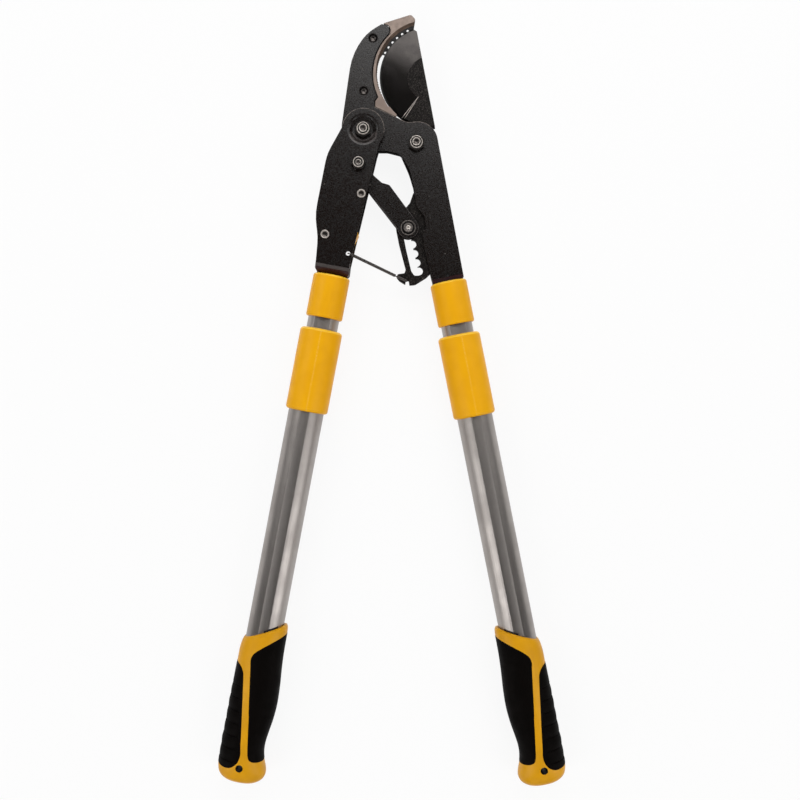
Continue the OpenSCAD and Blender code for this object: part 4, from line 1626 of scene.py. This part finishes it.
def curve_through(knots: np.ndarray, at: float) -> np.ndarray:
    """Value of a smooth curve through knots whose first column is the parameter.

    Args:
        knots: rows of parameter and values.
        at: parameter.

    Returns:
        The values there.
    """
    i = int(np.clip(np.searchsorted(knots[:, 0], at) - 1, 0, len(knots) - 2))
    span = knots[i + 1, 0] - knots[i, 0]
    t = float(np.clip((at - knots[i, 0]) / span, 0.0, 1.0))

    def slope(j: int) -> np.ndarray:
        """Slope at one knot."""
        a, b = max(j - 1, 0), min(j + 1, len(knots) - 1)
        return (knots[b, 1:] - knots[a, 1:]) / (knots[b, 0] - knots[a, 0])

    p, q = knots[i, 1:], knots[i + 1, 1:]
    return ((2 * t ** 3 - 3 * t ** 2 + 1) * p + (t ** 3 - 2 * t ** 2 + t) * span * slope(i)
            + (3 * t ** 2 - 2 * t ** 3) * q + (t ** 3 - t ** 2) * span * slope(i + 1))


@dataclass
class GripBody:
    """The lofted body that core and pads share, unrolled by its mean radius."""

    power: float = 0.88
    radius: float = 19.5

    def point(self, station: float, angle: float, lift: float = 0.0) -> Point3:
        """A point of the body.

        Args:
            station: place along the handle.
            angle: angle round it, 0 on the inner side and a quarter turn at the front.
            lift: height above the surface.

        Returns:
            The point in the handle's frame.
        """
        outer, inner, deep, lean = curve_through(GRIP_SECTIONS, station)
        x = (inner - outer) / 2 + ((inner + outer) / 2 + lift) * self.bulge(math.cos(angle))
        y = (deep + lift) * self.bulge(math.sin(angle))
        return (float(x), float(y), float(station + lean * x))

    def bulge(self, value: float) -> float:
        """Sine or cosine made a little squarer."""
        return math.copysign(abs(value) ** self.power, value)

    def reach(self, station: float, x: float, sign: float) -> float:
        """Half angle of a pad whose border lies at x.

        Args:
            station: place along the handle.
            x: border's place across the handle.
            sign: 1 for a pad on the inner side, -1 for one on the outer side.

        Returns:
            The half angle in radians.
        """
        outer, inner, _, _ = curve_through(GRIP_SECTIONS, station)
        share = (x - (inner - outer) / 2) / ((inner + outer) / 2) * sign
        share = math.copysign(min(1.0, abs(share)) ** (1 / self.power), share)
        return math.acos(max(-1.0, min(1.0, share)))


@dataclass
class RubberPad:
    """A rubber pad let into the grip, by the border that it follows."""

    border: tuple[Point2, ...]
    sign: float
    bend: float
    ribs: tuple[float, ...] = ()
    proud: float = 0.2
    sink: float = 0.8
    rounding: float = 1.3
    rows: int = 330
    columns: int = 60
    groove: float = 0.75
    pillow: float = 0.3
    plain: float = 0.15
    bent_length: float = 28.0

    def stations(self, body: GripBody) -> np.ndarray:
        """Follow the border in even steps.

        Args:
            body: the body that the pad lies on.

        Returns:
            Rows of station and half angle.
        """
        knots = np.array([(i, *p) for i, p in enumerate(self.border)], dtype=float)
        fine = np.array([curve_through(knots, s) for s in np.linspace(0, len(knots) - 1, 1500)])
        fine[:, 0] = np.maximum.accumulate(fine[:, 0])
        length = np.concatenate(([0.0], np.cumsum(np.hypot(*np.diff(fine, axis=0).T))))
        at = np.linspace(0.0, length[-1], self.rows + 1)
        k, x = (np.interp(at, length, fine[:, i]) for i in (0, 1))
        half = [body.reach(a, b, self.sign) for a, b in zip(k, x)]
        half[0] = half[-1] = 0.0
        return np.column_stack((k, half))

    @staticmethod
    def rim(rows: np.ndarray, count: int = 1200) -> np.ndarray:
        """Both borders on the unrolled body, in points that lie close together everywhere.

        Args:
            rows: stations and half angles.
            count: number of points of each border.

        Returns:
            Rows of station and distance round the grip.
        """
        line = np.column_stack((rows[:, 0], rows[:, 1] * GripBody.radius))
        length = np.concatenate(([0.0], np.cumsum(np.hypot(*np.diff(line, axis=0).T))))
        at = np.linspace(0.0, length[-1], count)
        border = np.column_stack([np.interp(at, length, line[:, i]) for i in (0, 1)])
        return np.concatenate((border, border * (1.0, -1.0)))

    def lift(self, station: float, gap: float) -> float:
        """Height of the pad above the body.

        Args:
            station: place along the handle.
            gap: distance to the pad's border.

        Returns:
            The height in millimetres.
        """
        edge = 1.0 - min(gap / self.rounding, 1.0)
        height = self.proud - (self.proud + self.sink) * (1.0 - math.sqrt(1.0 - edge * edge))
        if self.ribs:
            away = min(abs(station - rib) for rib in self.ribs)
            groove = self.groove * (1.0 - ramp(away, 0.15, 1.0))
            ribbed = self.ribs[0] < station < self.ribs[-1]
            crown = self.pillow * ramp(away, 0.0, 5.5) if ribbed else self.plain
            height += (crown - groove) * ramp(gap, 2.0, 5.0)
        return height

    def shape(self, body: GripBody) -> Shape:
        """The pad's skin, whose border lies sunk in the body.

        Args:
            body: the body that the pad lies on.

        Returns:
            The skin in the handle's frame.
        """
        rows = self.stations(body)
        rim, radius = self.rim(rows), body.radius
        start = 0.0 if self.sign > 0 else math.pi
        last = rows[-1, 0]

        def place(u: float, v: float) -> Point3:
            """Point of the pad.

            Args:
                u: share of the way across it.
                v: share of the way along it.

            Returns:
                The point.
            """
            station, half = rows[int(round(v * self.rows))]
            across = 2 * u - 1
            gap = float(np.min(np.hypot(rim[:, 0] - station, rim[:, 1] - across * half * radius)))
            bent = station - self.bend * ramp(station, last - self.bent_length, last) * (1 - across ** 2)
            return body.point(bent, start + across * half, self.lift(bent, gap))

        return Shape.sheet(self.columns, self.rows, place).mend()


PALM = RubberPad(((330.9, 20.7), (332.2, 16.0), (333.6, 11.0), (335.2, 6.2), (337.0, 1.6),
                  (339.2, -2.4), (341.8, -5.3), (344.8, -6.7), (348.5, -7.0), (353.0, -6.2),
                  (358.0, -5.5), (376.5, -2.9), (394.7, -0.3), (414.0, 3.0), (429.0, 5.4),
                  (434.0, 6.6), (436.8, 8.2), (438.5, 11.2), (439.2, 14.9), (439.4, 18.3),
                  (439.5, 21.2)), 1.0, 0.8)
FINGER = RubberPad(((350.2, -19.6), (351.5, -16.7), (354.5, -13.4), (358.0, -11.1),
                    (361.0, -9.8), (365.0, -9.0), (373.0, -7.7), (395.0, -4.2), (417.0, -0.7),
                    (428.0, 1.1), (433.0, 1.7), (437.0, 1.5), (441.0, -0.1), (444.0, -2.6),
                    (446.3, -5.6), (447.7, -9.0), (448.3, -12.5), (448.5, -16.0),
                    (448.6, -19.2)), -1.0, 1.6,
                   tuple(373.15 + 11.2 * i for i in range(7)), rows=420, columns=56)


class PadBed:
    """The hollow of the core in which a pad lies."""

    depth: float = 1.2

    def __init__(self, pad: RubberPad, body: GripBody) -> None:
        """Take the pad's border over.

        Args:
            pad: the pad.
            body: the body that both lie on.
        """
        self.rows = pad.stations(body)
        self.middle = 0.0 if pad.sign > 0 else math.pi
        self.rim = pad.rim(self.rows)

    def bed(self, station: float, angle: float) -> float:
        """Depth of the hollow at a point of the body.

        Args:
            station: place along the handle.
            angle: angle round it.

        Returns:
            The depth, 0 outside the pad.
        """
        away = (angle - self.middle + math.pi) % math.tau - math.pi
        half = float(np.interp(station, self.rows[:, 0], self.rows[:, 1], left=0.0, right=0.0))
        if abs(away) >= half:
            return 0.0
        gap = float(np.min(np.hypot(self.rim[:, 0] - station, self.rim[:, 1] - away * GripBody.radius)))
        return self.depth * ramp(gap, 1.8, 3.4)


@dataclass
class HandGrip:
    """Grip of one side: yellow core, palm pad, ribbed finger pad and hang hole."""

    side: Side
    hole: Point2 = (1.7, 445.0)
    hole_radius: float = 3.3
    around: int = 144
    mouth_lean: float = 0.49
    tip: Point3 = (3.3, 0.0, 461.0)
    tab_radius: float = 16.35

    def core(self, body: GripBody) -> Shape:
        """The yellow body with its mouth for the tube and its hang hole.

        Args:
            body: the lofted body.

        Returns:
            The core in the handle's frame.
        """
        fine = np.concatenate((np.linspace(324.0, 330.0, 26), np.linspace(330.5, 446.0, 120),
                               np.linspace(446.3, 460.8, 60)))
        mouth = ((344.0, 16.0), (325.0, 16.0), (324.25, 16.05), (324.0, 16.3))
        rows = len(fine) + len(mouth)

        def place(u: float, v: float) -> Point3:
            """Point of the core.

            Args:
                u: share of the way round it.
                v: share of the way from the mouth's bottom to the end.

            Returns:
                The point.
            """
            row, angle = int(round(v * rows)), u * math.tau
            if row < len(mouth):
                station, radius = mouth[row]
                x = radius * math.cos(angle)
                return (x, radius * math.sin(angle), station - self.mouth_lean * x)
            if row == rows:
                return self.tip
            station = float(fine[row - len(mouth)])
            return body.point(station, angle, -max(pad.bed(station, angle) for pad in beds))

        beds = [PadBed(pad, body) for pad in (PALM, FINGER)]
        shape = Shape.sheet(self.around, rows, place).mend()
        rim = [e for e in shape.bm.edges if e.is_boundary]
        bmesh.ops.holes_fill(shape.bm, edges=rim, sides=0)
        bmesh.ops.recalc_face_normals(shape.bm, faces=shape.bm.faces)
        drill = Shape.rod(self.hole_radius, -40.0, 40.0)
        tool = Shape().add(drill, Matrix.Translation((self.hole[0], 0.0, self.hole[1]))
                           @ Matrix.Rotation(math.pi / 2, 4, "X"))
        return shape.cut(tool, 1)

    def tab(self) -> Shape:
        """A black sheet of painted shadow in the gap between tube and mouth.

        Returns:
            The sheet in the handle's frame.
        """
        def place(u: float, v: float) -> Point3:
            """Point of the sheet.

            Args:
                u: share of the way round the tube.
                v: share of the way along it.

            Returns:
                The point.
            """
            angle = math.radians(44.0 + 44.0 * u)
            x = self.tab_radius * math.cos(angle)
            return (x, self.tab_radius * math.sin(angle), 322.3 + 2.6 * v - self.mouth_lean * x)

        shape = Shape.sheet(24, 6, place)
        bmesh.ops.recalc_face_normals(shape.bm, faces=shape.bm.faces)
        bmesh.ops.solidify(shape.bm, geom=shape.bm.faces[:], thickness=0.35)
        return shape.mend()

    def build(self) -> None:
        """Make the grip's pieces."""
        title, body = self.side.title, GripBody()
        self.core(body).piece(f"{title}_grip_core_moulded", (MUSTARD, BLACK_PLASTIC),
                              (f"{title}_grip_core",), self.side.outer)
        for pad, name in ((PALM, "palm"), (FINGER, "finger")):
            pad.shape(body).piece(f"{title}_{name}_pad_moulded", (RUBBER,),
                                  (f"{title}_{name}_pad",), self.side.outer, crease=70.0)
        # A black sheet of painted shadow in the gap at the mouth.
        self.tab().piece(f"{title}_grip_tab", (BLACK_PLASTIC,), (), self.side.outer,
                         body=f"{title}_outer")


@dataclass
class SoftBox:
    """One area lamp of the studio."""

    name: str
    place: Point3
    target: Point3
    size: Point2
    power: float
    roll: float = 0.0
    skips: tuple[str, ...] = ()

    def build(self) -> None:
        """Hang the lamp, turned by its roll in its own plane and flagged off what it skips."""
        lamp = bpy.data.lights.new(self.name, "AREA")
        lamp.shape = "RECTANGLE"
        lamp.size, lamp.size_y = self.size
        lamp.energy = self.power
        made = bpy.data.objects.new(self.name, lamp)
        made.location = self.place
        aim = Vector(self.target) - Vector(self.place)
        turn = aim.to_track_quat("-Z", "Y").to_matrix()
        turn = turn @ Matrix.Rotation(math.radians(self.roll), 3, "Z")
        made.rotation_euler = turn.to_euler()
        made.visible_camera = False
        bpy.context.scene.collection.objects.link(made)
        if self.skips:
            flagged = bpy.data.collections.new(f"{self.name}_flagged")
            for name in self.skips:
                flagged.objects.link(bpy.data.objects[name])
            made.light_linking.receiver_collection = flagged
            for entry in flagged.collection_objects:
                entry.light_linking.link_state = "EXCLUDE"


@dataclass
class Studio:
    """Pale floor, soft light and the camera above the tool."""

    center: Point2 = (7.38, 0.33)
    distance: float = 1.0
    floor_size: float = 6.0
    floor_grey: float = 0.86
    floor_glow: float = 0.9

    def floor(self) -> None:
        """A pale floor that is white to the camera and keeps the shadow."""
        shape = Shape()
        bmesh.ops.create_grid(shape.bm, x_segments=1, y_segments=1, size=self.floor_size)
        mesh = bpy.data.meshes.new("floor")
        shape.bm.to_mesh(mesh)
        material = bpy.data.materials.new("pale_floor")
        material.use_nodes = True
        kit = NodeKit(material.node_tree)
        kit.tree.nodes.clear()
        matte, glow = kit.node("ShaderNodeBsdfDiffuse"), kit.node("ShaderNodeEmission")
        matte.inputs["Color"].default_value = (*[self.floor_grey] * 3, 1.0)
        mixed = kit.node("ShaderNodeMixShader")
        seen = kit.math("MAXIMUM", *self.rays(kit))
        kit.join(kit.math("MULTIPLY", seen, self.floor_glow), mixed.inputs["Fac"])
        kit.join(matte.outputs["BSDF"], mixed.inputs[1])
        kit.join(glow.outputs["Emission"], mixed.inputs[2])
        kit.join(mixed.outputs["Shader"], kit.node("ShaderNodeOutputMaterial").inputs["Surface"])
        mesh.materials.append(material)
        made = bpy.data.objects.new("floor", mesh)
        bpy.context.scene.collection.objects.link(made)

    @staticmethod
    def rays(kit: NodeKit) -> tuple[bpy.types.NodeSocket, bpy.types.NodeSocket]:
        """Masks of the rays that look at the stage.

        Args:
            kit: the tree that asks.

        Returns:
            1 for rays from the camera, and 1 for rays from gloss or through glass.
        """
        path = kit.node("ShaderNodeLightPath").outputs
        shiny = kit.math("MAXIMUM", path["Is Glossy Ray"], path["Is Transmission Ray"])
        return path["Is Camera Ray"], shiny

    def sky(self) -> None:
        """A white room whose ceiling stays dark to everything but the camera."""
        world = bpy.data.worlds.new("studio")
        bpy.context.scene.world = world
        world.use_nodes = True
        kit = NodeKit(world.node_tree)
        back = next(n for n in kit.tree.nodes if n.type == "BACKGROUND")
        back.inputs["Color"].default_value = (1.0, 1.0, 1.0, 1.0)
        parts = kit.node("ShaderNodeSeparateXYZ")
        kit.join(kit.node("ShaderNodeTexCoord").outputs["Generated"], parts.inputs["Vector"])
        height = parts.outputs["Z"]
        straight, shiny = self.rays(kit)
        wall = kit.math("MULTIPLY", shiny, kit.between(height, 0.0, 0.08, 1.0, 0.0))
        wall = kit.math("MAXIMUM", wall, straight)
        room = kit.between(height, 0.2, 0.9, 0.0425, 0.0015)
        kit.join(kit.math("MAXIMUM", wall, room), back.inputs["Strength"])

    def camera(self) -> None:
        """Look straight down, the jaws towards the top of the frame."""
        data = bpy.data.cameras.new("camera")
        data.lens, data.sensor_width = 50.0, 36.0
        made = bpy.data.objects.new("camera", data)
        made.location = (self.center[0] / 1000, self.center[1] / 1000,
                         self.distance + SHIFT.z / 1000)
        bpy.context.scene.collection.objects.link(made)
        bpy.context.scene.camera = made

    def build(self) -> None:
        """Set the studio up."""
        bpy.context.scene.view_settings.view_transform = "Standard"
        self.camera()
        self.floor()
        self.sky()

    @staticmethod
    def lamps() -> None:
        """Side boxes flagged off the tubes next to them, fills, end boxes and two panels above."""
        left, right = (tuple(f"{side.title}_{name}_tube_drawn" for name in ("inner", "outer"))
                       for side in Side)
        for box in (SoftBox("left_box", (-1.2, -0.8, 1.0), (0.0, -0.35, 0.0), (0.7, 1.6), 11.5,
                            skips=left),
                    SoftBox("left_fill", (-1.2, 0.5, 1.0), (0.0, 0.0, 0.0), (0.7, 1.0), 4.6),
                    SoftBox("right_box", (1.2, -0.8, 1.0), (0.0, -0.35, 0.0), (0.7, 1.6), 11.5,
                            skips=right),
                    SoftBox("right_fill", (1.2, 0.5, 1.0), (0.0, 0.0, 0.0), (0.7, 1.0), 3.0),
                    SoftBox("far_box", (0.0, 1.5, 0.9), (0.0, 0.1, 0.0), (1.6, 0.6), 9.0),
                    SoftBox("near_box", (0.0, -1.5, 0.8), (0.0, 0.0, 0.0), (1.2, 0.4), 3.0),
                    SoftBox("near_panel", (0.0, -0.45, 1.5), (0.0, -0.2, 0.0), (1.0, 0.7), 0.8),
                    SoftBox("far_panel", (0.16, 1.133, 1.5), (0.16, 1.133, 0.0), (1.3, 0.8), 12.0,
                            -22.4)):
            box.build()


def main() -> None:
    """Build the studio, the sub-assemblies in order and the lamps."""
    logging.basicConfig(level=logging.INFO, format="%(message)s")
    studio = Studio()
    studio.build()
    HookHead().build()
    CuttingBlade().build()
    LeftPlates().build()
    RatchetLink().build()
    ReturnSpring().build()
    for side in Side:
        TubeHandle(side).build()
        HandGrip(side).build()
    studio.lamps()


if __name__ == "__main__":
    main()
